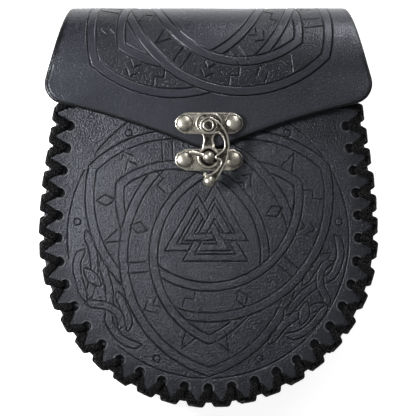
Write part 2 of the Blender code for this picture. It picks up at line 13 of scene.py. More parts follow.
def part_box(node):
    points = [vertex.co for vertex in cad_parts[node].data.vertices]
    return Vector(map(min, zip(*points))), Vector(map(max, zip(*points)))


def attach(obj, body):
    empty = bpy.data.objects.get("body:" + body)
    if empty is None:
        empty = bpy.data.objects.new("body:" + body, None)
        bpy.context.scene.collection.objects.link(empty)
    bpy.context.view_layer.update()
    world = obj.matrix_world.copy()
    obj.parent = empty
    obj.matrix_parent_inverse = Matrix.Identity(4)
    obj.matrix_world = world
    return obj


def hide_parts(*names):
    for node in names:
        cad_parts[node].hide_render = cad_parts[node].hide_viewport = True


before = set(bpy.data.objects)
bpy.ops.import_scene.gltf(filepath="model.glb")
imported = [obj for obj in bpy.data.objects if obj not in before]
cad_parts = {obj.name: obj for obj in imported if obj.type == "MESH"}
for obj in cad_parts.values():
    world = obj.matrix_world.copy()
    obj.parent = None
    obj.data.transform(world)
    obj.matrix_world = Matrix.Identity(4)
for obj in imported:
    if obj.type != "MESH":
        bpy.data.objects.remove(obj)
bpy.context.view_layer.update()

# The studio. The pouch lies on its back on a pale floor and is seen from straight above. A small
# lamp stands close by on its left, a broad one far off at its upper right, and a narrow one
# beyond the fold.
MM = 0.001
PHOTO_MM = 183.04
CAMERA_RISE = 2.0


class Wire:
    """An output socket of a finish. Sums on it add Math nodes, and node() adds any other."""

    def __init__(self, tree, socket=None):
        self.tree = tree
        self.socket = socket

    def node(self, kind, settings=None, inputs=None, output=0):
        made = self.tree.nodes.new("ShaderNode" + kind)
        for name, value in (settings or {}).items():
            setattr(made, name, value)
        feed(made, inputs or {})
        return Wire(self.tree, made.outputs[output])

    def sum(self, operation, *others):
        return self.node("Math", {"operation": operation}, dict(enumerate((self, *others))))

    def __add__(self, other):
        return self.sum("ADD", other)

    __radd__ = __add__

    def __sub__(self, other):
        return self.sum("SUBTRACT", other)

    def __rsub__(self, other):
        return self.node("Math", {"operation": "SUBTRACT"}, {0: other, 1: self})

    def __mul__(self, other):
        return self.sum("MULTIPLY", other)

    __rmul__ = __mul__

    def between(self, low, high):
        """0 below low, 1 above high and a smooth step between them."""
        inputs = {"Value": self, "From Min": low, "From Max": high}
        return self.node("MapRange", {"interpolation_type": "SMOOTHSTEP"}, inputs)

    def mix(self, first, second):
        """One colour where this is 0 and another where it is 1."""
        return self.node("Mix", {"data_type": "RGBA"}, {0: self, 6: first, 7: second}, 2)

    def in_mm(self):
        """Coordinates in metres, turned to mm."""
        return self.node("VectorMath", {"operation": "SCALE"}, {0: self, "Scale": 1 / MM})

    def axis(self, number):
        return self.node("SeparateXYZ", None, {0: self}, number)

    def noise(self, scale, detail=3.0):
        return self.node("TexNoise", None, {"Vector": self, "Scale": scale, "Detail": detail})

    def cells(self, scale):
        return self.node("TexVoronoi", None, {"Vector": self, "Scale": scale})

    def attribute(self, name):
        return self.node("Attribute", {"attribute_name": name}, output="Fac")

    def bump(self, rise, strength=1.0):
        """The normal of this relief, where 1 is as high as the rise in mm."""
        return self.node("Bump", None, {"Height": self, "Strength": strength, "Distance": rise * MM})


def feed(shader, inputs):
    """Link or set the inputs of a node."""
    for name, value in inputs.items():
        if isinstance(value, Wire):
            value.tree.links.new(value.socket, shader.inputs[name])
        else:
            shader.inputs[name].default_value = value


def new_finish(name):
    """A material, its principled shader and a first wire that gives object coordinates in mm."""
    material = bpy.data.materials.new(name)
    material.use_nodes = True
    tree = material.node_tree
    place = Wire(tree).node("TexCoord", output="Object").in_mm()
    return material, tree.nodes["Principled BSDF"], place


def mesh_of(shape, name):
    mesh = bpy.data.meshes.new(name)
    shape.to_mesh(mesh)
    shape.free()
    return mesh


def placed(name, data):
    thing = bpy.data.objects.new(name, data)
    bpy.context.scene.collection.objects.link(thing)
    return thing


def studio():
    camera = placed("camera", bpy.data.cameras.new("camera"))
    camera.location = (-0.18 * MM, 0.25 * MM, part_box("front_panel")[1].z + CAMERA_RISE)
    camera.data.lens = camera.data.sensor_width * CAMERA_RISE / (PHOTO_MM * MM)
    camera.data.clip_end = 50.0
    bpy.context.scene.camera = camera

    shape = bmesh.new()
    bmesh.ops.create_circle(shape, cap_ends=True, segments=96, radius=6.0)
    floor = placed("floor", mesh_of(shape, "floor"))
    material, shader, _ = new_finish("pale floor")
    feed(shader, {
        "Base Color": (0.80, 0.80, 0.80, 1.0), "Roughness": 0.9, "Specular IOR Level": 0.0,
        "Emission Color": (1.0, 1.0, 1.0, 1.0), "Emission Strength": 0.84,
    })
    floor.data.materials.append(material)

    world = bpy.data.worlds.new("studio")
    world.use_nodes = True
    seen = Wire(world.node_tree).node("LightPath", output="Is Camera Ray")
    way = seen.node("TexCoord", output="Generated")
    upward = way.axis(2)
    light = (0.05 + upward * upward * 0.26) * (1.0 - way.axis(0) * 0.15)
    sky = {"Color": (1.0, 1.0, 1.0, 1.0), "Strength": seen * 0.95 + (1.0 - seen) * light}
    feed(world.node_tree.nodes["Background"], sky)
    bpy.context.scene.world = world

    lamps = (
        ("window", (-0.20, 0.04, 0.21), 0.07, 1.15),
        ("ceiling", (0.50, 0.90, 1.10), 0.60, 3.7),
        ("strip", (0.12, 0.33, 0.16), 0.05, 0.55),
    )
    for name, spot, size, power in lamps:
        lamp = bpy.data.lights.new(name, "AREA")
        lamp.shape = "SQUARE"
        lamp.size = size
        lamp.energy = power
        thing = placed(name, lamp)
        thing.location = spot
        aim = Vector((0.0, 0.0, 0.03)) - Vector(spot)
        thing.rotation_euler = aim.to_track_quat("-Z", "Y").to_euler()
        thing.visible_camera = False
    bpy.context.scene.view_settings.view_transform = "Standard"


studio()

# Every leather part is cut from vegetable-tanned hide, dyed black and waxed. Its grain side has
# fine pores and a soft speckled shine, and the cut edges are rounded and painted.
LEATHER = 2.4
EDGE_ROUND = 0.7
LEATHER_LAYERS = ("tooled", "matte_and_painted_shade", "flesh", "smooth", "hole_highlight")


def leather_finish():
    material, shader, place = new_finish("black hide")
    tooled, matte_and_painted_shade, flesh, smooth, hole_highlight = (place.attribute(name) for name in LEATHER_LAYERS)
    cells = place.cells(1.2)
    pores = place.noise(1.6)
    worn = place.noise(0.055).between(0.35, 0.7)
    speck = pores.between(0.49, 0.63)
    shade = worn.mix((0.0040, 0.0045, 0.0085, 1.0), (0.0065, 0.0073, 0.0120, 1.0))
    shade = (speck * (0.9 - smooth * 0.4)).mix(shade, (0.054, 0.056, 0.064, 1.0))
    # Smooth leather is lifted to a lighter colour. This is painted light that brightens the flap and
    # back.
    shade = (smooth * 0.16).mix(shade, (0.050, 0.051, 0.058, 1.0))
    # Dull ground is darker. This is the stippled panels' own tone, plus painted shade along the
    # front's laced margin and a painted flap shadow at its upper corners.
    shade = (matte_and_painted_shade * 0.85).mix(shade, (0.0020, 0.0023, 0.0042, 1.0))
    # The pressed lines are darkened in colour as painted shade in the grooves. On the flap this also
    # darkens the edge band: its dye, with painted shade along it.
    shade = tooled.between(0.1, 0.7).mix(shade, (0.0010, 0.0010, 0.0012, 1.0))
    shade = (flesh * 0.8).mix(shade, (0.030, 0.029, 0.029, 1.0))
    # A pale ring round each lace hole is a painted highlight on its rim.
    shade = (hole_highlight * 0.9).mix(shade, (0.140, 0.140, 0.145, 1.0))
    rough = 0.31 + flesh * 0.4 + tooled * 0.03 + matte_and_painted_shade * 0.08 - speck * 0.08 + worn * 0.05
    relief = (cells * 0.35 + place.cells(2.4) * 0.15 + pores) * (1.0 - smooth * 0.64)
    relief = relief + cells.between(0.08, 0.45) * matte_and_painted_shade * 0.20
    feed(shader, {
        "Base Color": shade, "Roughness": rough, "Specular IOR Level": 0.5,
        "Specular Tint": (0.88, 0.91, 1.0, 1.0), "Normal": relief.bump(0.42),
    })
    return material


HIDE = leather_finish()


def add_piece(name, shape, material, slot, body, *nodes, smooth=50.0):
    """A finished piece, shaped in mm, that rides on a body and stands for CAD nodes."""
    bmesh.ops.recalc_face_normals(shape, faces=shape.faces)
    bmesh.ops.scale(shape, verts=shape.verts, vec=(MM, MM, MM))
    mesh = mesh_of(shape, name)
    mesh.shade_smooth()
    mesh.set_sharp_from_angle(angle=math.radians(smooth))
    mesh.materials.append(material)
    thing = placed(name, mesh)
    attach(thing, body)
    if nodes:
        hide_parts(*nodes)
    return thing


def eased(values):
    """0 below 0, 1 above 1 and a smooth step between them."""
    values = np.clip(values, 0.0, 1.0)
    return values * values * (3 - 2 * values)


# The outline. Both panels are cut to one pattern: a round bottom on a circle about the body's
# centre, a soft shoulder and straight sides to the mouth, with a hole for the lace at each step.
HOLE_CIRCLE = 66.3
SHOULDER_RADIUS = 190.0
SIDE_LEAN = math.radians(9.0)
EDGE_MARGIN = 6.4
MOUTH_HEIGHT = 74.8
QUARTER = HOLE_CIRCLE * math.pi / 2
SHOULDER = SHOULDER_RADIUS * SIDE_LEAN
ROUND_PITCHES = 10
SIDE_PITCH = 9.95
LAST_HOLE = 17


def box_of(node):
    """A node's lowest and highest corners in mm."""
    return [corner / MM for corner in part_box(node)]


panel_low, panel_high = box_of("front_panel")
sheet_low, sheet_high = box_of("back_and_flap")
CENTRE_Y = panel_low.y + panel_high.x
FRONT_FACE = panel_low.z + LEATHER
BACK_FACE = sheet_low.z
FLAP_FACE = sheet_high.z
FOLD_STANDS_PROUD = 1.1
FOLD_TOP = sheet_high.y - CENTRE_Y + FOLD_STANDS_PROUD


def rim(length):
    """A point on the line of holes and its outward direction, by the length from the bottom."""
    side = math.copysign(1.0, length)
    length = abs(length)
    if length <= QUARTER:
        turn = length / HOLE_CIRCLE
        out = Vector((math.sin(turn), -math.cos(turn)))
        place = out * HOLE_CIRCLE
    else:
        turn = min((length - QUARTER) / SHOULDER_RADIUS, SIDE_LEAN)
        straight = max(length - QUARTER - SHOULDER, 0.0)
        out = Vector((math.cos(turn), math.sin(turn)))
        place = Vector((HOLE_CIRCLE - SHOULDER_RADIUS, 0.0)) + out * SHOULDER_RADIUS
        place += Vector((-out.y, out.x)) * straight
    return Vector((side * place.x, place.y)), Vector((side * out.x, out.y))


def hole_length(number):
    """The length along the rim to a hole, or between holes where the number isn't whole."""
    count = abs(number)
    length = QUARTER * min(count, ROUND_PITCHES) / ROUND_PITCHES
    length += SIDE_PITCH * max(count - ROUND_PITCHES, 0.0)
    return math.copysign(length, number)


def rim_end(offset, height=MOUTH_HEIGHT):
    """The length along the rim where its line, moved outwards, reaches a height."""
    place, out = rim(hole_length(LAST_HOLE))
    rise = (height - place.y - out.y * offset) / out.x
    return hole_length(LAST_HOLE) + rise


HOLES = [rim(hole_length(number)) for number in range(-LAST_HOLE, LAST_HOLE + 1)]


def rim_line(offset, height=MOUTH_HEIGHT):
    """The rim moved outwards by an offset, from its left end round to its right, in 1 mm steps."""
    end = rim_end(offset, height)
    points = []
    for length in np.linspace(-end, end, int(2 * end)):
        place, out = rim(length)
        points.append(tuple(place + out * offset))
    return np.array(points)


def polar(turns):
    return np.column_stack([np.cos(turns), np.sin(turns)])


def circle(centre, radius, step):
    count = max(int(2 * math.pi * radius / step), 10)
    return np.array(centre) + radius * polar(np.arange(count) * 2 * math.pi / count)


def closed(loop):
    return np.vstack([loop, loop[:1]])


def spaced(points, step):
    """The same path with points about one step apart, its ends kept."""
    points = np.asarray(points, float)
    lengths = np.hypot(*np.diff(points, axis=0).T)
    reached = np.concatenate([[0.0], np.cumsum(lengths)])
    count = max(int(round(reached[-1] / step)), 1)
    at = np.linspace(0.0, reached[-1], count + 1)
    return np.column_stack([np.interp(at, reached, points[:, i]) for i in (0, 1)])


def beside(points, offset):
    """A path moved sideways by an offset, to its left."""
    direction = np.gradient(points, axis=0)
    direction /= np.hypot(*direction.T)[:, None]
    return points + offset * np.column_stack([-direction[:, 1], direction[:, 0]])


def flowing(points, step):
    """A smooth curve through points."""
    points = np.asarray(points, float)
    padded = np.vstack([2 * points[0] - points[1], points, 2 * points[-1] - points[-2]])
    curve = []
    for i in range(len(points) - 1):
        a, b, c, d = padded[i : i + 4]
        for t in np.linspace(0.0, 1.0, 13)[:-1]:
            bend = (2 * a - 5 * b + 4 * c - d) * t**2 + (3 * b - a - 3 * c + d) * t**3
            curve.append(b + ((c - a) * t + bend) / 2)
    curve.append(points[-1])
    return spaced(curve, step)


# The tooled ornament. Its lines are pressed into the damp hide with a blunt edge before it is
# dyed: three round bands laced into a three-cornered knot, with bordered panels between them.
CIRCLE_OFFSET = 17.5
CORNERS = (90, 210, 330)
BAND = (38.1, 55.5)
PANEL = (42.0, 51.5)
PANEL_MIDDLE = sum(PANEL) / 2
GROOVE_HALF = 0.45
GROOVE_DEPTH = 0.45
PANEL_DEPTH = 0.13


def direction(degrees):
    return np.array([math.cos(math.radians(degrees)), math.sin(math.radians(degrees))])


def band_centre(turn):
    return CIRCLE_OFFSET * direction(turn)


def over_band(points, turn):
    """Where the band at turn + 240 degrees lies over the band at turn."""
    reach = np.hypot(*(points - band_centre(turn + 240)).T)
    near = points @ direction(turn + 120) / np.maximum(np.hypot(*points.T), 0.001)
    return (reach > BAND[0]) & (reach < BAND[1]) & (near > 0.64)


def band_arc(turn, radius):
    """One band's arc on the far side of its centre, between the two tips that it reaches."""
    tip = (CIRCLE_OFFSET + math.sqrt(4 * radius**2 - 3 * CIRCLE_OFFSET**2)) / 2
    end = math.atan2(tip * math.sin(math.pi / 3), tip * math.cos(math.pi / 3) - CIRCLE_OFFSET)
    turns = np.linspace(end, 2 * math.pi - end, int(radius * 36)) + math.radians(turn)
    return band_centre(turn) + radius * polar(turns)


def shown(points, hidden, depth):
    """The runs of a finely spaced path that aren't hidden: (path, depth)."""
    edges = np.flatnonzero(np.diff(np.concatenate([[1], hidden.astype(int), [1]])))
    runs = zip(edges[::2], edges[1::2])
    return [(points[start:end], depth) for start, end in runs if end - start > 3]


def band_knot():
    """The grooves of the three laced bands."""
    lines = []
    for turn in CORNERS:
        for radius in (*BAND, *PANEL):
            arc = band_arc(turn, radius)
            lines += shown(arc, over_band(arc, turn), 1.0)
    return lines


def in_panels(points):
    """1 in the sunk panels of the bands, where the ground is stippled, and 0 elsewhere."""
    found = np.zeros(len(points))
    for turn in CORNERS:
        reach = np.hypot(*(points - band_centre(turn)).T)
        far = points @ direction(turn) < np.hypot(*points.T) * 0.5
        panel = (reach > PANEL[0]) & (reach < PANEL[1]) & far
        found[panel & ~over_band(points, turn)] = 1.0
    return found


MARKS = {
    "bars": [[(-2.3, -4.1), (-2.3, 4.1)], [(2.3, -4.1), (2.3, 4.1)]],
    "lozenge": [[(0, -4.0), (2.6, 0), (0, 4.0), (-2.6, 0), (0, -4.0)]],
    "chevrons": [[(-2.5, -3.7), (0, -0.9), (2.5, -3.7)], [(-2.5, 0.7), (0, 3.5), (2.5, 0.7)]],
    "peak": [[(-2.7, -3.7), (0, 3.7), (2.7, -3.7)]],
    "steps": [[(-2.1, -4.1), (-2.1, 0), (2.1, 0), (2.1, 4.1)]],
}
MARK_DEPTH = 1.1


def mark_lines(place, kind):
    """A small plain mark that stands across a band's panel."""
    spokes = [place - band_centre(turn) for turn in CORNERS]
    outward = min(spokes, key=lambda spoke: abs(np.hypot(*spoke) - PANEL_MIDDLE))
    outward /= np.hypot(*outward)
    across = np.array([outward[1], -outward[0]])
    lines = []
    for path in MARKS[kind]:
        ends = [place + across * x + outward * y for x, y in path]
        lines += [(spaced(pair, 0.1), MARK_DEPTH) for pair in zip(ends, ends[1:])]
    return lines


# The front panel's own ornament: a ring round the bands, small rings beside the tips, three
# linked triangles in the middle and a ribbon knot in each lower gap.
FRONT_MARKS = (
    (-35.6, 34.8, "chevrons"), (-17.9, 38.4, "bars"), (-45.1, 16.6, "lozenge"),
    (-42.6, -0.5, "peak"), (-20.9, 24.7, "steps"), (-30.5, 4.5, "lozenge"),
    (-31.5, -13.2, "bars"), (-25.0, -30.3, "chevrons"), (-8.3, -26.8, "steps"),
    (14.9, -26.8, "lozenge"), (35.1, -12.7, "bars"), (43.7, 4.5, "chevrons"),
    (46.2, 19.1, "steps"), (36.2, 33.8, "peak"), (29.1, 11.6, "lozenge"),
    (16.5, 25.2, "chevrons"), (-9.8, -46.0, "peak"), (7.4, -47.0, "peak"),
)
TRIANGLE_SIDE = 29.2
TRIANGLE_BAND = 3.13
EMBLEM_AT = (0.5, 0.9)
EMBLEM_SHARE = (0.985, 1.0)
RING_RADIUS = 62.0
RING_ARCS = ((151.4, 188.7), (230.4, 268.5), (271.5, 388.0), (391.0, 503.5))
RIGHT_KNOT_TURN = 123.0
RIBBONS = (
    ("over", [(-54.5, -28.5), (-49.6, -29.4), (-44.6, -30.1), (-39.9, -33.2),
              (-38.2, -37.1), (-39.4, -40.6)]),
    ("leaf", [(-54.9, -13.3), (-51.0, -17.4), (-47.0, -21.4)]),
    ("crescent", [(-54.3, -4.9), (-57.3, -9.2), (-57.6, -15.2), (-55.9, -21.8), (-53.7, -28.0)]),
    ("hooked", [(-53.9, 3.4), (-51.9, -2.1), (-50.4, -7.2), (-50.0, -13.9), (-50.4, -17.5),
                (-51.2, -21.0), (-52.3, -24.9), (-54.7, -27.7)]),
    ("long", [(-47.0, -9.0), (-45.3, -16.3), (-43.7, -21.8), (-43.3, -26.9), (-43.4, -32.0),
              (-43.7, -36.7), (-41.7, -40.6), (-37.8, -45.0), (-32.7, -47.3), (-29.2, -47.3)]),
    ("short", [(-40.2, -23.4), (-38.2, -28.1), (-36.2, -32.8), (-35.0, -37.1), (-35.4, -41.4)]),
)
RIBBON_HALF = 1.7


def rotated(points, degrees):
    turn = math.radians(degrees)
    spin = np.array([[math.cos(turn), math.sin(turn)], [-math.sin(turn), math.cos(turn)]])
    return np.asarray(points, float) @ spin


def triangle(centroid, side):
    reach = side / math.sqrt(3)
    return [centroid + reach * direction(turn) for turn in CORNERS]


def inside(points, corners):
    """Whether each point is inside a closed outline."""
    corners = np.asarray(corners)
    found = np.zeros(len(points), bool)
    for (x0, y0), (x1, y1) in zip(corners, np.roll(corners, -1, axis=0)):
        if y0 == y1:
            continue
        spans = (points[:, 1] < y0) != (points[:, 1] < y1)
        reach = x0 + (points[:, 1] - y0) * (x1 - x0) / (y1 - y0)
        found ^= spans & (points[:, 0] < reach)
    return found


def linked_triangles():
    """Three bands bent to triangles, each over the next."""
    centroids = [np.array([0.0, 1.8]) + 5.3 * direction(a) for a in (180, 60, 300)]
    inner = TRIANGLE_SIDE - 2 * math.sqrt(3) * TRIANGLE_BAND
    lines = []
    for i, centroid in enumerate(centroids):
        above = centroids[i - 1]
        for side in (TRIANGLE_SIDE, inner):
            corners = triangle(centroid, side)
            for start, end in zip(corners, corners[1:] + corners[:1]):
                path = spaced([start, end], 0.1)
                hidden = inside(path, triangle(above, TRIANGLE_SIDE))
                hidden &= ~inside(path, triangle(above, inner))
                lines += shown(path, hidden, 1.0)
    return lines


def ribbon_outline(points, leaf):
    """Both edges of a ribbon whose ends are pointed, as one closed path."""
    middle = flowing(points, 0.25)
    share = np.linspace(0.0, 1.0, len(middle))
    length = len(middle) * 0.25
    if leaf:
        half = 2.3 * np.sin(math.pi * share) ** 0.8
    else:
        half = RIBBON_HALF * np.minimum(1.0, np.minimum(share, 1 - share) * length / 3.2) ** 0.7
    left = (beside(middle, 1.0) - middle) * half[:, None]
    return closed(np.vstack([middle + left, (middle - left)[::-1]]))


def ribbon_knot(turn):
    lines = []
    above = []
    for name, points in RIBBONS:
        outline = ribbon_outline(rotated(points, turn), name == "leaf")
        path = spaced(outline, 0.1)
        hidden = np.zeros(len(path), bool)
        for cover in above:
            hidden |= inside(path, cover)
        lines += shown(path, hidden, 0.85)
        above.append(outline)
    return lines


def front_ornament():
    emblem = band_knot() + linked_triangles()
    lines = [(path * EMBLEM_SHARE + EMBLEM_AT, depth) for path, depth in emblem]
    lines += ribbon_knot(0) + ribbon_knot(RIGHT_KNOT_TURN)
    for start, end in RING_ARCS:
        lines.append((RING_RADIUS * polar(np.radians(np.arange(start, end, 0.1))), 0.8))
    for x, y, kind in FRONT_MARKS:
        lines += mark_lines(np.array([x, y]), kind)
    for turn in (7, 53, 127, 173, 247, 293):
        lines.append((closed(circle(58.0 * direction(turn), 1.5, 0.1)), 0.9))
    return lines


# A tooled sheet is a flat cut pattern with rows of points along each groove, each hole and its
# edge, so that the pressed lines are sharp. It is made flat and then bent to its place.
def triangulated(loops, points):
    """A flat sheet of triangles inside the first loop and outside the others."""
    corners = []
    edges = []
    for loop in loops:
        start = len(corners)
        corners += [Vector(p) for p in loop]
        edges += [(start + i, start + (i + 1) % len(loop)) for i in range(len(loop))]
    corners += [Vector(p) for p in points]
    places, _, faces, _, _, _ = delaunay_2d_cdt(corners, edges, [], 0, 0.0001, False)
    places = np.array([tuple(p) for p in places])
    faces = np.array(faces)
    middles = places[faces].mean(axis=1)
    kept = inside(middles, loops[0])
    for hole in loops[1:]:
        centre = hole.mean(axis=0)
        kept &= np.hypot(*(middles - centre).T) > np.hypot(*(hole[0] - centre)) * 0.97
    mesh = bpy.data.meshes.new("sheet")
    mesh.from_pydata([(x, y, 0.0) for x, y in places], [], faces[kept].tolist())
    return mesh


def tree_of(points):
    tree = KDTree(len(points))
    for i, point in enumerate(points):
        tree.insert((point[0], point[1], 0.0), i)
    tree.balance()
    return tree


def distances(points, tree):
    return np.array([tree.find((x, y, 0.0))[2] for x, y in points])


HOLE_TREE = tree_of([place for place, _ in HOLES])


def filling(loops, rows, spacing):
    """Evenly spread points in the space that the rows leave."""
    low = loops[0].min(axis=0)
    high = loops[0].max(axis=0)
    taken = tree_of(rows)
    points = []
    for j in range(int((high[1] - low[1]) / (spacing * 0.866)) + 1):
        for i in range(int((high[0] - low[0]) / spacing) + 1):
            spot = (low[0] + (i + 0.5 * (j % 2)) * spacing, low[1] + j * spacing * 0.866)
            if taken.find((*spot, 0.0))[2] > 0.6 * spacing:
                points.append(spot)
    return np.array(points)


def thinned(points, cell):
    _, kept = np.unique(np.round(points / cell), axis=0, return_index=True)
    return points[np.sort(kept)]


def sheet_slab(outline, holes, lines, spacing, edge_rows):
    """The closed flat sheet, grain side at height 1 and flesh side at 0, with rows for its relief."""
    loops = [outline, *holes]
    rows = []
    for inset in edge_rows:
        rows.append(beside(np.vstack([outline[-1:], closed(outline)]), inset)[1:-1])
        for hole in holes:
            middle = hole.mean(axis=0)
            rows.append(middle + (hole - middle) * (1 + inset / np.hypot(*(hole[0] - middle))))
    for path, _ in lines:
        row = spaced(path, 0.6)
        for share in (-1.7, -1.0, -0.5, 0.0, 0.5, 1.0, 1.7):
            rows.append(beside(row, share * GROOVE_HALF))
    rim_points = np.vstack(loops)
    rows = thinned(np.vstack(rows), 0.14)
    rows = rows[distances(rows, tree_of(rim_points)) > 0.12]
    points = np.vstack([rows, filling(loops, np.vstack([rows, rim_points]), spacing)])

    shape = bmesh.new()
    shape.from_mesh(triangulated(loops, points))
    bmesh.ops.translate(shape, verts=shape.verts, vec=(0.0, 0.0, 1.0))
    edges = [edge for edge in shape.edges if edge.is_boundary]
    wall = bmesh.ops.extrude_edge_only(shape, edges=edges)["geom"]
    foot = [part for part in wall if isinstance(part, bmesh.types.BMVert)]
    bmesh.ops.translate(shape, verts=foot, vec=(0.0, 0.0, -1.0))
    shape.from_mesh(triangulated(loops, filling(loops, rim_points, spacing * 2.4)))
    bmesh.ops.remove_doubles(shape, verts=shape.verts, dist=0.001)
    loose = [vert for vert in shape.verts if not vert.link_faces]
    bmesh.ops.delete(shape, geom=loose, context="VERTS")
    return shape


def pressed(points, lines):
    """How deep the tooling is at each point, where 1 is a full groove."""
    depth = np.zeros(len(points))
    for strength in sorted({strength for _, strength in lines}):
        paths = [spaced(path, 0.2) for path, found in lines if found == strength]
        away = distances(points, tree_of(np.vstack(paths))) / GROOVE_HALF
        depth = np.maximum(depth, strength * np.clip(1 - away**2, 0, None) ** 2)
    return depth


def rounding(points, loops, radius):
    """How far a cut edge's rounding lies below the grain side at each point."""
    dense = np.vstack([spaced(closed(loop), 0.2) for loop in loops])
    away = np.clip(distances(points, tree_of(dense)), 0.0, radius)
    return radius - np.sqrt(radius**2 - (radius - away) ** 2)


def set_relief(shape, tooled, matte_and_painted_shade, smooth, hole_highlight):
    """Keep the tooling, the dull ground with its painted shade, the flesh side, what is smooth and
    the painted highlight round the holes.
    """
    layers = [shape.verts.layers.float.new(name) for name in LEATHER_LAYERS]
    for vert, deep, dull_and_painted_shade, even, rim_highlight in zip(shape.verts, tooled, matte_and_painted_shade, smooth, hole_highlight):
        on_grain = (deep, dull_and_painted_shade, 0.0, even, rim_highlight)
        on_flesh = (0.0, 0.0, 1.0, even, 0.0)
        for layer, value in zip(layers, on_grain if vert.co.z > 0.5 else on_flesh):
            vert[layer] = value


# The front panel is one round-bottomed sheet, wet-moulded so that it stands out a little over
# the full pouch, and flat along the laced margin. The lace draws its holes in.
CROWN = 3.2
CROWN_INSET = 4.4
FRONT_HOLE = 2.0
HOLE_LIP = 0.30
# The flap's shadow on the body's upper corners is painted: within this reach the leather is made dull
# and dark.
FLAP_SHADOW_CORNER = (62.0, 48.0)
FLAP_SHADOW_REACH = 20.0


def crown_share(points):
    """0 at the centre and 1 where the crown meets the flat margin."""
    edge = rim_line(-CROWN_INSET, MOUTH_HEIGHT - 3.0)
    loop = np.vstack([edge, spaced([edge[-1], edge[0]], 1.0)])
    turns = np.arctan2(loop[:, 1], loop[:, 0])
    at = np.arctan2(points[:, 1], points[:, 0])
    reach = np.interp(at, turns, np.hypot(*loop.T), period=2 * math.pi)
    return np.hypot(*points.T) / reach


def waves(points, size, height, seed):
    return np.array([height * noise.noise((x / size, y / size, seed)) for x, y in points])


def puckers(points):
    """The margin dips at the holes, where the lace pulls, and swells between them."""
    found = np.zeros(len(points))
    for place, _ in HOLES:
        reach = np.hypot(*(points - np.array(place)).T)
        found -= 0.30 * np.exp(-((reach / 3.4) ** 2)) + 0.30 * np.exp(-((reach / 2.9) ** 4))
        found += HOLE_LIP * np.exp(-(((reach - FRONT_HOLE - 0.5) / 0.35) ** 2))
    return found


def front_panel():
    outline = rim_line(EDGE_MARGIN)
    outline = np.vstack([outline, spaced([outline[-1], outline[0]], 1.5)[1:-1]])
    holes = [circle(place, FRONT_HOLE, 0.55) for place, _ in HOLES]
    lines = front_ornament()
    shape = sheet_slab(outline, holes, lines, 2.4, (0.2, 0.45, 0.8, 1.6))
    points = np.array([vert.co.xy for vert in shape.verts])
    tooled = pressed(points, lines)
    panels = in_panels((points - EMBLEM_AT) / EMBLEM_SHARE)
    inset = distances(points, tree_of(spaced(closed(outline), 0.5)))
    margin = 1 - eased((inset - 7.5) / 4.0)
    # The margin by the lace is made dull and dark as painted shade. The corners under the flap are
    # made dull and dark as a painted shadow.
    dull_and_painted_shade = np.maximum(0.25 * panels, 0.7 * margin)
    corner = np.abs(points) - FLAP_SHADOW_CORNER
    dull_and_painted_shade = np.maximum(dull_and_painted_shade, np.exp(-((corner / FLAP_SHADOW_REACH) ** 2).sum(axis=1)))
    # A pale ring is painted round each hole as a painted highlight on the rim.
    hole_highlight = np.exp(-(((distances(points, HOLE_TREE) - FRONT_HOLE - 0.35) / 0.28) ** 2))
    hole_highlight *= np.clip(0.7 + waves(points, 1.6, 1.2, 11.0), 0.0, 1.0)
    set_relief(shape, tooled, dull_and_painted_shade, 0.85 * margin, hole_highlight)
    crown = CROWN * np.clip(1 - crown_share(points) ** 2, 0, None) ** 1.2
    crown += waves(points, 22.0, 0.22, 3.0) + puckers(points) + 0.25 * margin
    drop = rounding(points, [outline, *holes], EDGE_ROUND)
    drop += np.maximum(GROOVE_DEPTH * tooled, PANEL_DEPTH * panels)
    for vert, rise, sunk in zip(shape.verts, crown, drop):
        vert.co.z = FRONT_FACE - LEATHER + rise + vert.co.z * (LEATHER - sunk)
        vert.co.y += CENTRE_Y
    add_piece("tooled_front", shape, HIDE, "black_leather", "pouch", "front_panel")


front_panel()

# The back, the fold and the flap are one sheet. It rises from the back panel, bends softly over
# the mouth and hangs down the front to a shallow point. The same banded knot is pressed into it.
STRAIGHT_RUN = 300.0
CREASE_DEPTH = 0.3
NECK_HALF = 60.5
FLAP_FLARE = 0.282
FLAP_CORNER_HEIGHT = 60.9
FLAP_CORNER_RADIUS = 9.0
FLAP_TIP_HEIGHT = 39.6
FLAP_TIP_SLOPE = 0.44
FLAP_CORNER_SLOPE = 0.187
FLAP_CURL = 1.6
FLAP_KNOT_AT = 32.9
FLAP_KNOT_SCALE = 0.975
FLAP_KNOT_TURN = 181.8
HIDDEN_HOLE = 2.3


def fold_course():
    """The fold's length, and rows of the middle of the leather over it: the length up the flat
    pattern from the flap's root, the height, the level and the outward direction. The first and
    the last row end a straight run down the front and down the back."""
    back = BACK_FACE + LEATHER / 2
    front = FLAP_FACE - LEATHER / 2
    height = FOLD_TOP - LEATHER / 2 - MOUTH_HEIGHT
    deep = (front - back) / 2
    level, rise = polar(np.linspace(0.0, math.pi, 241)).T
    course = np.column_stack([MOUTH_HEIGHT + height * rise, (back + front) / 2 + deep * level])
    out = np.column_stack([rise * deep, level * height])
    out /= np.hypot(*out.T)[:, None]
    reached = np.concatenate([[0.0], np.cumsum(np.hypot(*np.diff(course, axis=0).T))])
    bottom = MOUTH_HEIGHT - STRAIGHT_RUN
    first = (-STRAIGHT_RUN, bottom, front, 0.0, 1.0)
    last = (reached[-1] + STRAIGHT_RUN, bottom, back, 0.0, -1.0)
    return reached[-1], np.vstack([first, np.column_stack([reached, course, out]), last])


FOLD_LENGTH, FOLD_COURSE = fold_course()


def rounded_corner(before, corner, after, radius, steps):
    """An arc of a radius that joins the lines before-corner and corner-after."""
    corner = Vector(corner)
    one = (Vector(before) - corner).normalized()
    two = (Vector(after) - corner).normalized()
    half = one.angle(two) / 2
    middle = corner + (one + two).normalized() * radius / math.sin(half)
    start = corner + one * radius / math.tan(half) - middle
    end = corner + two * radius / math.tan(half) - middle
    sweep = start.angle_signed(end)
    return [
        tuple(middle + Matrix.Rotation(-sweep * i / steps, 2) @ start) for i in range(steps + 1)
    ]


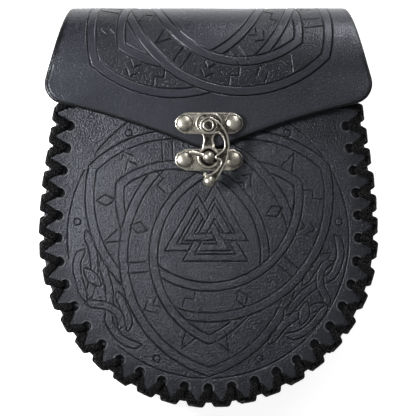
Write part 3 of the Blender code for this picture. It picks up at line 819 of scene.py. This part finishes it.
def flap_pattern():
    """The right half of the cut line, from the tip up round the corner to the back's bottom."""
    root = NECK_HALF + FLAP_FLARE * FOLD_LENGTH / 2
    half_corner = root + FLAP_FLARE * (MOUTH_HEIGHT - FLAP_CORNER_HEIGHT)
    bend = (FLAP_TIP_SLOPE - FLAP_CORNER_SLOPE) / (2 * half_corner)
    edge = []
    for x in np.linspace(0.0, half_corner, 40):
        y = FLAP_CORNER_HEIGHT - FLAP_TIP_SLOPE * (half_corner - x)
        y += bend * (half_corner**2 - x**2)
        edge.append((x, max(y, FLAP_TIP_HEIGHT) - MOUTH_HEIGHT))
    side = (half_corner, FLAP_CORNER_HEIGHT - MOUTH_HEIGHT)
    corner = rounded_corner(edge[-2], side, (root, 0.0), FLAP_CORNER_RADIUS, 10)
    edge = [point for point in edge if point[0] < corner[0][0] - 0.5]
    back = rim_line(EDGE_MARGIN)
    back = back[len(back) // 2 :][::-1]
    back = [(x, FOLD_LENGTH + MOUTH_HEIGHT - y) for x, y in back]
    neck = (NECK_HALF, FOLD_LENGTH / 2)
    right = [*edge, *corner, (root, 0.0), neck, *back]
    return spaced(right, 1.0)


def back_and_flap():
    right = flap_pattern()
    left = right[::-1] * (-1, 1)
    outline = np.vstack([right[:-1], left[:-1]])
    holes = []
    for place, _ in HOLES:
        holes.append(circle((place.x, FOLD_LENGTH + MOUTH_HEIGHT - place.y), HIDDEN_HOLE, 0.8))
    knot = band_knot()
    kinds = list(MARKS)
    for number, turn in enumerate(CORNERS):
        places = spaced(band_arc(turn, PANEL_MIDDLE), 12.5)[1:-1]
        for i, hidden in enumerate(over_band(places, turn)):
            if not hidden:
                knot += mark_lines(places[i], kinds[(i * 2 + number) % len(kinds)])
    knot_at = np.array([0.0, FLAP_KNOT_AT])
    lines = []
    for path, depth in knot:
        lines.append((rotated(path * FLAP_KNOT_SCALE, FLAP_KNOT_TURN) + knot_at, depth))
    lines.append((beside(np.vstack([left[-90:-1], right[:90]]), 1.7), CREASE_DEPTH))
    shape = sheet_slab(outline, holes, lines, 2.2, (0.15, 0.4, 0.75, 1.2))
    corners = np.array([vert.co for vert in shape.verts])
    points = corners[:, :2]
    tooled = pressed(points, lines)
    panels = in_panels(rotated((points - knot_at) / FLAP_KNOT_SCALE, -FLAP_KNOT_TURN))
    # A band along the cut edge is darkened: the dyed edge, and beyond it painted shade.
    dyed_edge_and_shade = 1 - eased((distances(points, tree_of(spaced(outline, 0.2))) - 0.8) / 1.3)
    # The whole sheet is smooth. It takes the painted lighter colour as well as the finer grain.
    every = np.ones(len(points))
    set_relief(shape, np.maximum(tooled, dyed_edge_and_shade), panels, every, 0.0 * every)
    drop = rounding(points, [outline, *holes], 1.2)
    drop += np.maximum(GROOVE_DEPTH * tooled, PANEL_DEPTH * panels)
    level = np.where(corners[:, 2] > 0.5, LEATHER / 2 - drop, -LEATHER / 2)
    level += waves(points, 30.0, 0.25, 7.0)
    across, length = points.T
    level += FLAP_CURL * eased((np.abs(across) - 38.0) / 32.0) * eased(-length / 14.0)
    y, z, out_y, out_z = (np.interp(length, FOLD_COURSE[:, 0], row) for row in FOLD_COURSE[:, 1:].T)
    bent = np.column_stack([across, y + out_y * level + CENTRE_Y, z + out_z * level])
    for vert, place in zip(shape.verts, bent):
        vert.co = place
    add_piece("tooled_back_and_flap", shape, HIDE, "black_leather", "pouch", "back_and_flap")


back_and_flap()

# The lace is a soft flat braid, waxed black. It whips each edge twice, first one way round and
# then back, so that two strands leave every hole and cross between the holes on the edge.
LACE_WIDTH = 3.6
LACE_SQUEEZED = 2.4
LACE_THICK = 0.95


def lace_finish():
    material, shader, place = new_finish("waxed braid")
    strand = place.node("UVMap", {"uv_map": "strand"})
    along = strand.axis(0)
    slope = strand.axis(1).sum("ABSOLUTE") * 1.1
    ribs = ((along + slope) * (math.pi / 0.55)).sum("SINE")
    counter = ((along - slope) * (math.pi / 0.9)).sum("SINE")
    fibre = place.noise(2.6)
    weave = ribs * 0.5 + counter * 0.25 + fibre * 0.8
    # The braid's colour is lighter on the ribs' tops as a painted highlight, and it varies with its
    # fibres.
    fibre_tone_and_rib_highlight = weave.between(0.1, 1.0)
    feed(shader, {
        "Base Color": fibre_tone_and_rib_highlight.mix((0.0001, 0.0001, 0.0001, 1.0), (0.0075, 0.0075, 0.0085, 1.0)),
        "Roughness": 0.55 - fibre * 0.30, "Specular IOR Level": 0.09, "Normal": weave.bump(0.22),
    })
    return material


BRAID = lace_finish()


def numbered_grid(shape, count, rows):
    """A grid of count by rows faces, and the column and row of each of its corners."""
    grid = bmesh.ops.create_grid(shape, x_segments=count, y_segments=rows, size=0.5)["verts"]
    return {v: (round((v.co.x + 0.5) * count), round((v.co.y + 0.5) * rows)) for v in grid}


def swept(shape, centres, normals, widths, thicks, around=12, blunt=0.75):
    """A flattened strand along a course: a grid of rings that is closed round and capped."""
    centres = np.asarray(centres, float)
    tangents = np.gradient(centres, axis=0)
    tangents /= np.linalg.norm(tangents, axis=1)[:, None]
    sides = np.cross(normals, tangents)
    sides /= np.linalg.norm(sides, axis=1)[:, None]
    ups = np.cross(tangents, sides)
    steps = np.linalg.norm(np.diff(centres, axis=0), axis=1)
    reached = np.concatenate([[0.0], np.cumsum(steps)])
    uv = shape.loops.layers.uv.get("strand") or shape.loops.layers.uv.new("strand")
    count = len(centres) - 1
    section = polar(np.arange(around + 1) * 2 * math.pi / around)
    flat, high = (np.sign(section) * np.abs(section) ** blunt / 2).T
    places = numbered_grid(shape, count, around)
    for vert, (i, j) in places.items():
        vert.co = centres[i] + sides[i] * flat[j] * widths[i] + ups[i] * high[j] * thicks[i]
        for corner in vert.link_loops:
            corner[uv].uv = (reached[i], flat[j] * widths[i])
    ends = [[v for v, (i, _) in places.items() if i == end] for end in (0, count)]
    bmesh.ops.remove_doubles(shape, verts=list(places), dist=0.01)
    for end in ends:
        rim_edges = {e for v in end if v.is_valid for e in v.link_edges if e.is_boundary}
        bmesh.ops.contextual_create(shape, geom=list(rim_edges))


def filleted(corners, normals, radius, step=1.3):
    """A course round corners: each is rounded, and its outside turns with it."""
    centres = []
    outs = []
    corners = [Vector(c) for c in corners]
    normals = [Vector(n).normalized() for n in normals]
    for i, corner in enumerate(corners):
        if i == 0 or i == len(corners) - 1:
            centres.append(corner)
            outs.append(normals[min(i, len(normals) - 1)])
            continue
        before = corners[i - 1] - corner
        after = corners[i + 1] - corner
        cut = min(radius, before.length * 0.47, after.length * 0.47)
        start = corner + before.normalized() * cut
        end = corner + after.normalized() * cut
        gap = start - centres[-1]
        count = max(int(gap.length / step), 1)
        for _ in range(1, count):
            centres.append(centres[-1] + gap / count)
            outs.append(normals[i - 1])
        for t in (0.0, 0.25, 0.5, 0.75, 1.0):
            centres.append(start * (1 - t) ** 2 + corner * 2 * t * (1 - t) + end * t**2)
            outs.append(normals[i - 1].slerp(normals[i], t))
    return centres, outs


def lace(name, node, top, bottom, rise, shift, way):
    """One pass round an edge: up each hole, out, over the edge, under and up the next hole."""
    reach = EDGE_MARGIN + rise
    thick = top - bottom + 2 * rise
    travel = thick / (2 * (reach - shift) + thick)
    corners = []
    normals = []
    numbers = range(-LAST_HOLE, LAST_HOLE + 1)[::way]
    for number in numbers:
        place, out = rim(hole_length(number))
        slack = noise.noise((number * 1.37, rise * 9.0, top))
        inner = place + out * (shift + 0.3 * slack)
        corners.append((*inner, bottom - rise))
        normals.append((*-out, 0.0))
        if number == numbers[-1]:
            corners.append((*inner, top))
            break
        corners.append((*inner, top + rise))
        normals.append((0.0, 0.0, 1.0))
        after, _ = rim(hole_length(number + way))
        along = way * travel * (after - place).length / 2
        middle, out = rim(hole_length(number + way / 2))
        tangent = Vector((-out.y, out.x))
        middle += out * reach + tangent * slack * 1.3
        corners.append((*(middle - tangent * along), top + rise))
        normals.append((*out, 0.0))
        corners.append((*(middle + tangent * along), bottom - rise))
        normals.append((0.0, 0.0, -1.0))
    centres, outs = filleted(corners, normals, 1.1 + rise * 0.4)
    free = eased(distances([centre.xy for centre in centres], HOLE_TREE) / 3.2)
    widths = LACE_SQUEEZED + (LACE_WIDTH - LACE_SQUEEZED) * free
    thicks = np.full(len(centres), LACE_THICK)
    for i, centre in enumerate(centres):
        wobble = noise.noise((centre.x / 5, centre.y / 5, rise * 7 + top))
        widths[i] *= 1 + 0.22 * wobble
        thicks[i] *= 1 - 0.10 * wobble
        centres[i] = centre + Vector((0.0, CENTRE_Y, 0.0))
    shape = bmesh.new()
    swept(shape, centres, outs, widths, thicks)
    add_piece(name, shape, BRAID, "black_lace", "pouch", node)


def laces():
    depth = LEATHER + 0.3 + 1.8
    courses = (
        ("front", FRONT_FACE, FRONT_FACE - depth),
        ("back", BACK_FACE + depth, BACK_FACE),
    )
    for side, top, bottom in courses:
        lace(f"{side}_braid_first", f"{side}_lace_first", top, bottom, 0.65, 1.35, 1)
        lace(f"{side}_braid_return", f"{side}_lace_return", top, bottom, 1.65, 0.5, -1)


laces()

# The gusset is one long strip between the panels. Both its edges are turned out to meet them under
# the lace, and its soft middle sinks a little into the pouch.
GUSSET_LEATHER = 1.8
GUSSET_BEND = 2.6
GUSSET_INSET = 5.0
BELLOWS = 1.6
SEAM_GAP = 0.3


def gusset_rows():
    """The strip's section from the front to the back: (offset from the rim, height)."""
    top = FRONT_FACE - LEATHER - SEAM_GAP - GUSSET_LEATHER / 2
    middle = (FRONT_FACE + BACK_FACE) / 2
    rows = [(offset, top) for offset in (EDGE_MARGIN, 4.0, 1.6, -0.6)]
    for turn in np.radians((0, 18, 36, 54, 72, 90)):
        away = GUSSET_BEND * np.array([math.sin(turn), 1 - math.cos(turn)])
        rows.append((GUSSET_BEND - GUSSET_INSET - away[0], top - away[1]))
    wall = top - GUSSET_BEND - middle
    for share in (0.8, 0.6, 0.4, 0.2):
        rows.append((-GUSSET_INSET - BELLOWS * (1 - share**2), middle + wall * share))
    lower = [(offset, 2 * middle - height) for offset, height in rows[::-1]]
    return [*rows, (-GUSSET_INSET - BELLOWS, middle), *lower]


def thicken(piece, thickness):
    """Give an open sheet its thickness, half of it on each side."""
    wall = piece.modifiers.new("hide", "SOLIDIFY")
    wall.thickness = thickness * MM
    wall.offset = 0.0


def gusset():
    rows = gusset_rows()
    count = 230
    middle = (FRONT_FACE + BACK_FACE) / 2
    shape = bmesh.new()
    for vert, (i, j) in numbered_grid(shape, count, len(rows) - 1).items():
        offset, height = rows[j]
        length = rim_end(offset) * (2 * i / count - 1)
        slack = eased((-offset - 3.6) / 2.4) * 0.9
        offset += slack * noise.noise((length / 13, height / 16, 5.0))
        offset += slack * 0.5 * noise.noise((length / 4.5, height / 22, 9.0))
        place, out = rim(length)
        place += out * offset
        swell = eased((abs(height - middle) - 9.0) / 8.0)
        vert.co = (place.x, place.y + CENTRE_Y, height + slack * swell * 0.2)
    strip = add_piece("folded_gusset", shape, HIDE, "black_leather", "pouch", "gusset")
    thicken(strip, GUSSET_LEATHER)


gusset()

# Two straps on the back take a belt. Each is turned in at both ends and sewn flat to the back
# with waxed thread, and stands off between them.
LOOP_LEATHER = 2.2
LOOP_TAB = 10.0
LOOP_RAMP = 8.0
LOOP_CORNER = 3.5
LOOP_SAG = 0.35
SEAM_INSET = 2.2
SEAM_ENDS = (2.0, 8.6)
STITCH_LENGTH = 2.7
STITCH_PITCH = 3.3
THREAD = 0.75


def belt_loop(side):
    low, high = box_of(f"belt_loop_{side}")
    half = (high.x - low.x) / 2
    middle = (high.x + low.x) / 2
    seat = high.z - LOOP_LEATHER / 2
    stand = low.z + LOOP_LEATHER / 2
    turned_in = LOOP_TAB + LOOP_RAMP
    corners = [
        (0.0, high.y, seat), (0.0, high.y - LOOP_TAB, seat),
        (0.0, high.y - turned_in, stand), (0.0, low.y + turned_in, stand),
        (0.0, low.y + LOOP_TAB, seat), (0.0, low.y, seat),
    ]
    course, _ = filleted(corners, [(0.0, 0.0, -1.0)] * 5, 3.5, 1.0)
    course.append(Vector(corners[-1]))
    shape = bmesh.new()
    for vert, (i, j) in numbered_grid(shape, len(course) - 1, 12).items():
        place = course[i]
        end = min(high.y - place.y, place.y - low.y)
        cut = LOOP_CORNER - math.sqrt(max(LOOP_CORNER**2 - max(LOOP_CORNER - end, 0.0) ** 2, 0.0))
        share = j / 6 - 1
        sag = LOOP_SAG * (1 + noise.noise((place.y / 14, share * 1.3, middle)))
        sag *= eased((seat - place.z) / (seat - stand))
        vert.co = (middle + share * (half - cut), place.y, place.z + sag)
    strap = add_piece(f"strap_{side}", shape, HIDE, "black_leather", "pouch", f"belt_loop_{side}")
    thicken(strap, LOOP_LEATHER)
    edge = strap.modifiers.new("rounded edge", "BEVEL")
    edge.width = 0.55 * MM
    edge.segments = 3
    edge.limit_method = "ANGLE"
    edge.angle_limit = math.radians(50)

    seam = bmesh.new()
    uv = seam.loops.layers.uv.new("strand")
    face = seat - LOOP_LEATHER / 2
    reach = half - SEAM_INSET
    near, far = SEAM_ENDS
    for end, way in ((high.y, -1), (low.y, 1)):
        corners = [(-reach, near), (reach, near), (reach, far), (-reach, far)]
        corners = [Vector((middle + x, end + way * y)) for x, y in corners]
        for start, stop in zip(corners, corners[1:] + corners[:1]):
            count = round((stop - start).length / STITCH_PITCH)
            turn = (stop - start).angle_signed(Vector((1.0, 0.0)))
            for i in range(count):
                spot = start.lerp(stop, (i + 0.5) / count)
                place = Matrix.Translation((*spot, face)) @ Matrix.Rotation(turn, 4, "Z")
                place @= Matrix.Diagonal((STITCH_LENGTH / 2, THREAD / 2, THREAD / 2, 1.0))
                stitch = bmesh.ops.create_uvsphere(
                    seam, u_segments=8, v_segments=6, radius=1.0, matrix=place
                )
                for vert in stitch["verts"]:
                    for corner in vert.link_loops:
                        corner[uv].uv = ((vert.co.xy - start).length, vert.co.z - face)
    add_piece(f"stitches_{side}", seam, BRAID, "black_lace", "pouch")


for side in ("left", "right"):
    belt_loop(side)

# The clasp is cast in zinc, plated with nickel and darkened, and then rubbed, so that its rims are
# bright and the sunk ground between them is black and rough.
PLATE_THICK = 1.2
UPPER_PLATE_HEIGHT = 9.4
BOSS_SIZE = (11.6, 9.1)
RIM = 0.6
SINK = 0.38
RIVET_RADIUS = 3.4
RIVET_RISE = 1.5
RIVET_SHANK = 1.1
RIVET_BACK = 2.4
RIVET_BACK_THICK = 0.6
# The seat's points are (radius, rise over the plate, darkness) and the head's are (radius, fall
# below its top, darkness).
SEAT_RING = (
    (3.62, -0.3, 0.8), (3.66, 0.0, 0.5), (3.82, 0.10, 0.0), (4.0, 0.02, 0.0), (4.1, -0.3, 0.6),
)
PIVOT_HEAD = (
    (0.0, 0.25, 1.0), (1.0, 0.25, 1.0), (1.7, 0.25, 1.0), (1.88, 0.05, 0.0), (2.05, 0.0, 0.0),
    (2.3, 0.0, 0.0), (2.48, 0.12, 0.0), (2.5, 0.3, 0.0), (2.5, 0.8, 0.6), (1.4, 0.8, 1.0),
)
EYE_RADIUS = 5.0
EYE_HOLE = 3.75
EYE_RISE = 4.9
TONGUE_ROOT = 6.2
TONGUE_NECK = 4.4
POST_BALL = 2.6
POST_NECK = 1.5
POST_RISE = 1.2
FINGER_TURN = 164.0
FINGER_RADIUS = 0.95
# Lengths along the catch finger from the post's middle, with the share of its radius there.
FINGER = (
    (0.0, 1.0), (2.0, 1.0), (4.0, 1.0), (6.0, 1.0), (7.4, 1.05), (8.2, 1.0), (8.6, 0.85),
    (8.85, 0.6), (8.97, 0.3), (9.0, 0.05),
)


def nickel_finish():
    material, shader, place = new_finish("antiqued nickel")
    recess_and_shade = place.attribute("recess_and_shade")
    cloud = place.noise(0.5)
    grit = place.noise(2.4, 2.0)
    # The recess darkness is patina in the hollows. Round the lower plate's post it is also a painted
    # shadow.
    tarnish = recess_and_shade * 0.9 + cloud.between(0.45, 0.70) * 0.35 + grit.between(0.48, 0.68) * 0.35
    relief = grit * (0.25 + recess_and_shade) + place.cells(1.9) * (0.15 + recess_and_shade * 0.8)
    feed(shader, {
        "Base Color": tarnish.mix((0.56, 0.53, 0.46, 1.0), (0.020, 0.018, 0.015, 1.0)),
        "Roughness": 0.27 + recess_and_shade * 0.3 + grit * 0.2, "Metallic": 1.0,
        "Normal": relief.bump(0.13, 0.6),
    })
    return material


NICKEL = nickel_finish()


def middle_of(node):
    """The middle of a node seen from the front, and its lowest and highest level, in mm."""
    low, high = box_of(node)
    return np.array((low + high).xy) / 2, low.z, high.z


PIVOT, PIVOT_BACK, PIVOT_TOP = middle_of("pivot_rivet")


def bar(centre, size):
    """A bar with round ends, anticlockwise."""
    radius = size[1] / 2
    ends = []
    for side, first in ((1, -90), (-1, 90)):
        end = radius * polar(np.radians(np.linspace(first, first + 180, 25)))
        ends.append(end + (side * (size[0] / 2 - radius), 0.0))
    return spaced(closed(np.vstack(ends) + centre), 0.45)[:-1]


def rimmed(points, away):
    """A rounded rim round a sunk ground: each point's rise and how dark it is."""
    edge = np.clip(away / 0.28, 0.0, 1.0)
    sunk = eased((away - RIM) / 0.28)
    return 0.22 * (np.sqrt(1 - (1 - edge) ** 2) - 1) - SINK * sunk, sunk


def casting(shape, outline, holes, base, thick, relief):
    """A flat casting added to a shape, with its face raised and sunk by the distance to its edge."""
    part = sheet_slab(outline, holes, [], 0.55, (0.15, 0.32, RIM, RIM + 0.28, 1.2))
    recess_and_shade = part.verts.layers.float.new("recess_and_shade")
    loops = [spaced(closed(loop), 0.1) for loop in (outline, *holes)]
    points = np.array([vert.co.xy for vert in part.verts])
    rises, darks = relief(points, distances(points, tree_of(np.vstack(loops))))
    for vert, rise, dark in zip(part.verts, rises, darks):
        on_face = vert.co.z > 0.5
        vert[recess_and_shade] = dark if on_face else 0.0
        vert.co.z = base + (thick + rise if on_face else 0.0)
    mesh = mesh_of(part, "casting")
    shape.from_mesh(mesh)
    bpy.data.meshes.remove(mesh)


def turned(shape, centre, profile):
    """A turned shape about an upright axis, from points of (radius, height, darkness)."""
    recess_and_shade = shape.verts.layers.float.get("recess_and_shade") or shape.verts.layers.float.new("recess_and_shade")
    verts = []
    for radius, height, dark in profile:
        verts.append(shape.verts.new((centre[0] + radius, centre[1], height)))
        verts[-1][recess_and_shade] = dark
    edges = [shape.edges.new(pair) for pair in zip(verts, verts[1:])]
    before = set(shape.faces)
    bmesh.ops.spin(
        shape, geom=[*verts, *edges], cent=(*centre, 0.0), axis=(0.0, 0.0, 1.0),
        angle=2 * math.pi, steps=48, use_merge=True,
    )
    around = {vert for face in set(shape.faces) - before for vert in face.verts}
    bmesh.ops.remove_doubles(shape, verts=list(around), dist=0.0005)


def finish_metal(shape, name, body, node):
    add_piece(name, shape, NICKEL, "antique_nickel", body, node, smooth=40.0)


def rivet_seats(shape, height, which):
    """A low ring cast round each rivet's place."""
    for side in ("left", "right"):
        centre, _, _ = middle_of(f"{which}_rivet_{side}")
        turned(shape, centre, [(radius, height + rise, dark) for radius, rise, dark in SEAT_RING])


def upper_plate():
    low, high = box_of("upper_plate")
    centre = np.array([(low.x + high.x) / 2, high.y - UPPER_PLATE_HEIGHT / 2])
    face = low.z + PLATE_THICK
    shape = bmesh.new()

    def worn(points, away):
        rise, sunk = rimmed(points, away)
        return rise + SINK * 0.3 * sunk, sunk * 0.5

    casting(shape, bar(centre, (high.x - low.x, UPPER_PLATE_HEIGHT)), [], low.z, PLATE_THICK, worn)

    def ridges(points, away):
        rise, sunk = rimmed(points, away)
        ridge = np.exp(-(((away - 1.45) / 0.24) ** 2))
        return rise + 0.34 * ridge, sunk * (1 - 0.9 * ridge)

    boss = high.z - face + 0.5
    casting(shape, bar(centre, BOSS_SIZE), [], face - 0.5, boss, ridges)

    post = np.array([PIVOT[0], low.y + EYE_RISE])
    eye_at = post + (0.0, -0.2)
    root = centre[1] - UPPER_PLATE_HEIGHT / 2
    neck = (root + post[1] + EYE_RADIUS) / 2
    eye = eye_at + EYE_RADIUS * polar(np.radians(np.linspace(128, 412, 60)))
    side = flowing([
        eye[-1], (post[0] + TONGUE_NECK / 2, neck - 0.9), (post[0] + TONGUE_NECK / 2, neck + 0.9),
        (post[0] + TONGUE_ROOT / 2, root + 0.2), (post[0] + TONGUE_ROOT / 2, root + 1.4),
    ], 0.4)
    mirrored = (side - post)[::-1] * (-1, 1) + post
    outline = np.vstack([mirrored[:-1], eye, side[1:]])

    def tongue(points, away):
        rise, sunk = rimmed(points, away)
        ring = eased((post[1] + 5.2 - points[:, 1]) / 1.2)
        half = (EYE_RADIUS - EYE_HOLE) / 2
        domed = 0.55 * (np.sqrt(1 - (1 - np.clip(away / half, 0, 1)) ** 2) - 1)
        return rise * (1 - ring) + domed * ring, sunk * (1 - ring)

    hole = circle(eye_at, EYE_HOLE, 0.4)
    casting(shape, outline, [hole], low.z, PLATE_THICK - 0.05, tongue)
    rivet_seats(shape, face, "upper")
    finish_metal(shape, "cast_upper_plate", "pouch", "upper_plate")


def lower_plate():
    low, high = box_of("lower_plate")
    centre, _, _ = middle_of("lower_plate")
    post = np.array([PIVOT[0], centre[1] + POST_RISE])
    face = low.z + PLATE_THICK
    shape = bmesh.new()

    def smoother(points, away):
        rise, sunk = rimmed(points, away)
        # Round the post, under its ball, the ground is painted fully dark: a painted shadow of the
        # ball over the dark sunk ground.
        near = 1 - eased((np.hypot(*(points - post).T) - 3.6) / 1.2)
        return rise + SINK * 0.35 * sunk, np.maximum(sunk * 0.45, near)

    casting(shape, bar(centre, (high - low).xy), [], low.z, PLATE_THICK, smoother)
    ball = high.z - POST_BALL
    profile = [(0.0, high.z, 0.0)]
    for turn in np.radians(np.linspace(8, 140, 16)):
        profile.append((POST_BALL * math.sin(turn), ball + POST_BALL * math.cos(turn), 0.0))
    profile += [
        (POST_NECK, ball - 2.0, 0.6), (POST_NECK + 0.1, face + 0.4, 0.9),
        (POST_NECK + 0.6, face - 0.2, 0.9),
    ]
    turned(shape, post, profile)
    way = direction(FINGER_TURN)
    centres = [(*(post + way * reach), ball - 0.35) for reach, _ in FINGER]
    sizes = [2 * FINGER_RADIUS * share for _, share in FINGER]
    swept(shape, centres, [(0.0, 0.0, 1.0)] * len(centres), sizes, sizes, 14, 1.0)
    rivet_seats(shape, face, "lower")
    finish_metal(shape, "cast_lower_plate", "pouch", "lower_plate")


# The hook's edges and balls are placed from the pivot, in shares of its reach.
HOOK_REACH = 24.5
HOOK_THICK = 1.8
HOOK_BOSS = 3.9
HOOK_BALL = 2.8
HOOK_BALL_AT = (0.012, -1.0)
HOOK_KNOB = 0.95
HOOK_KNOB_AT = (-0.061, -0.878)
HOOK_OUTER_EDGE = (
    (0.167, 0.084), (0.278, -0.049), (0.349, -0.192), (0.376, -0.337), (0.367, -0.469),
    (0.337, -0.624), (0.278, -0.747), (0.167, -0.951), (0.080, -1.020),
)
HOOK_INNER_EDGE = (
    (-0.045, -0.980), (-0.050, -0.890), (0.073, -0.849), (0.180, -0.747), (0.222, -0.665),
    (0.196, -0.620), (0.135, -0.606), (0.118, -0.571), (0.131, -0.535), (0.257, -0.433),
    (0.282, -0.337), (0.253, -0.216), (0.180, -0.135),
)


def swing_hook():
    """The flat hook, its round boss, the spur towards the post and the ball at its end."""
    _, low, high = middle_of("swing_hook")
    base = (low + high - HOOK_THICK) / 2
    boss = HOOK_BOSS * polar(np.radians(np.linspace(-80, -310, 40)))
    outer = flowing(np.array(HOOK_OUTER_EDGE) * HOOK_REACH, 0.45)
    inner = flowing(np.array(HOOK_INNER_EDGE) * HOOK_REACH, 0.45)
    outline = (np.vstack([outer, inner, boss]) + PIVOT)[::-1]

    def arm(points, away):
        rise, sunk = rimmed(points, away)
        near = np.hypot(*(points - PIVOT).T)
        ring = np.exp(-np.abs((near - 3.35) / 0.36) ** 3)
        groove = eased((3.1 - near) / 0.2)
        inside_boss = 1 - eased((near - 3.6) / 0.5)
        rise = rise * (1 - inside_boss) + (0.12 * ring - 0.3 * groove) * inside_boss
        sunk = sunk * (1 - inside_boss) + (1 - ring) * inside_boss * eased((3.6 - near) / 0.3)
        return rise, sunk

    shape = bmesh.new()
    casting(shape, outline, [circle(PIVOT, 1.6, 0.4)], base, HOOK_THICK, arm)
    for share, radius in ((HOOK_BALL_AT, HOOK_BALL), (HOOK_KNOB_AT, HOOK_KNOB)):
        centre = PIVOT + np.array(share) * HOOK_REACH
        bmesh.ops.create_uvsphere(
            shape, u_segments=36, v_segments=20, radius=radius,
            matrix=Matrix.Translation((*centre, (low + high) / 2)),
        )
    finish_metal(shape, "cast_hook", "hook", "swing_hook")


def rivets():
    """Dome rivets through plate and leather, and the flat one that the hook turns on."""
    for which in ("upper", "lower"):
        for side in ("left", "right"):
            node = f"{which}_rivet_{side}"
            centre, back, top = middle_of(node)
            seat = top - RIVET_RISE
            profile = [(0.0, top, 0.0)]
            for turn in np.radians(np.linspace(9, 90, 12)):
                height = seat + RIVET_RISE * math.cos(turn)
                profile.append((RIVET_RADIUS * math.sin(turn), height, 0.45 * math.sin(turn) ** 6))
            profile += [
                (RIVET_RADIUS - 0.1, seat - 0.2, 1.0), (RIVET_SHANK, seat - 0.2, 1.0),
                (RIVET_SHANK, back + RIVET_BACK_THICK, 1.0),
                (RIVET_BACK, back + RIVET_BACK_THICK, 0.2), (RIVET_BACK, back, 0.0), (0.0, back, 0.0),
            ]
            shape = bmesh.new()
            turned(shape, centre, profile)
            finish_metal(shape, f"dome_{node}", "pouch", node)
    profile = [(radius, PIVOT_TOP - fall, dark) for radius, fall, dark in PIVOT_HEAD]
    shape = bmesh.new()
    turned(shape, PIVOT, [*profile, (1.4, PIVOT_BACK, 1.0), (0.0, PIVOT_BACK, 1.0)])
    finish_metal(shape, "flat_pivot_rivet", "pouch", "pivot_rivet")


upper_plate()
lower_plate()
swing_hook()
rivets()
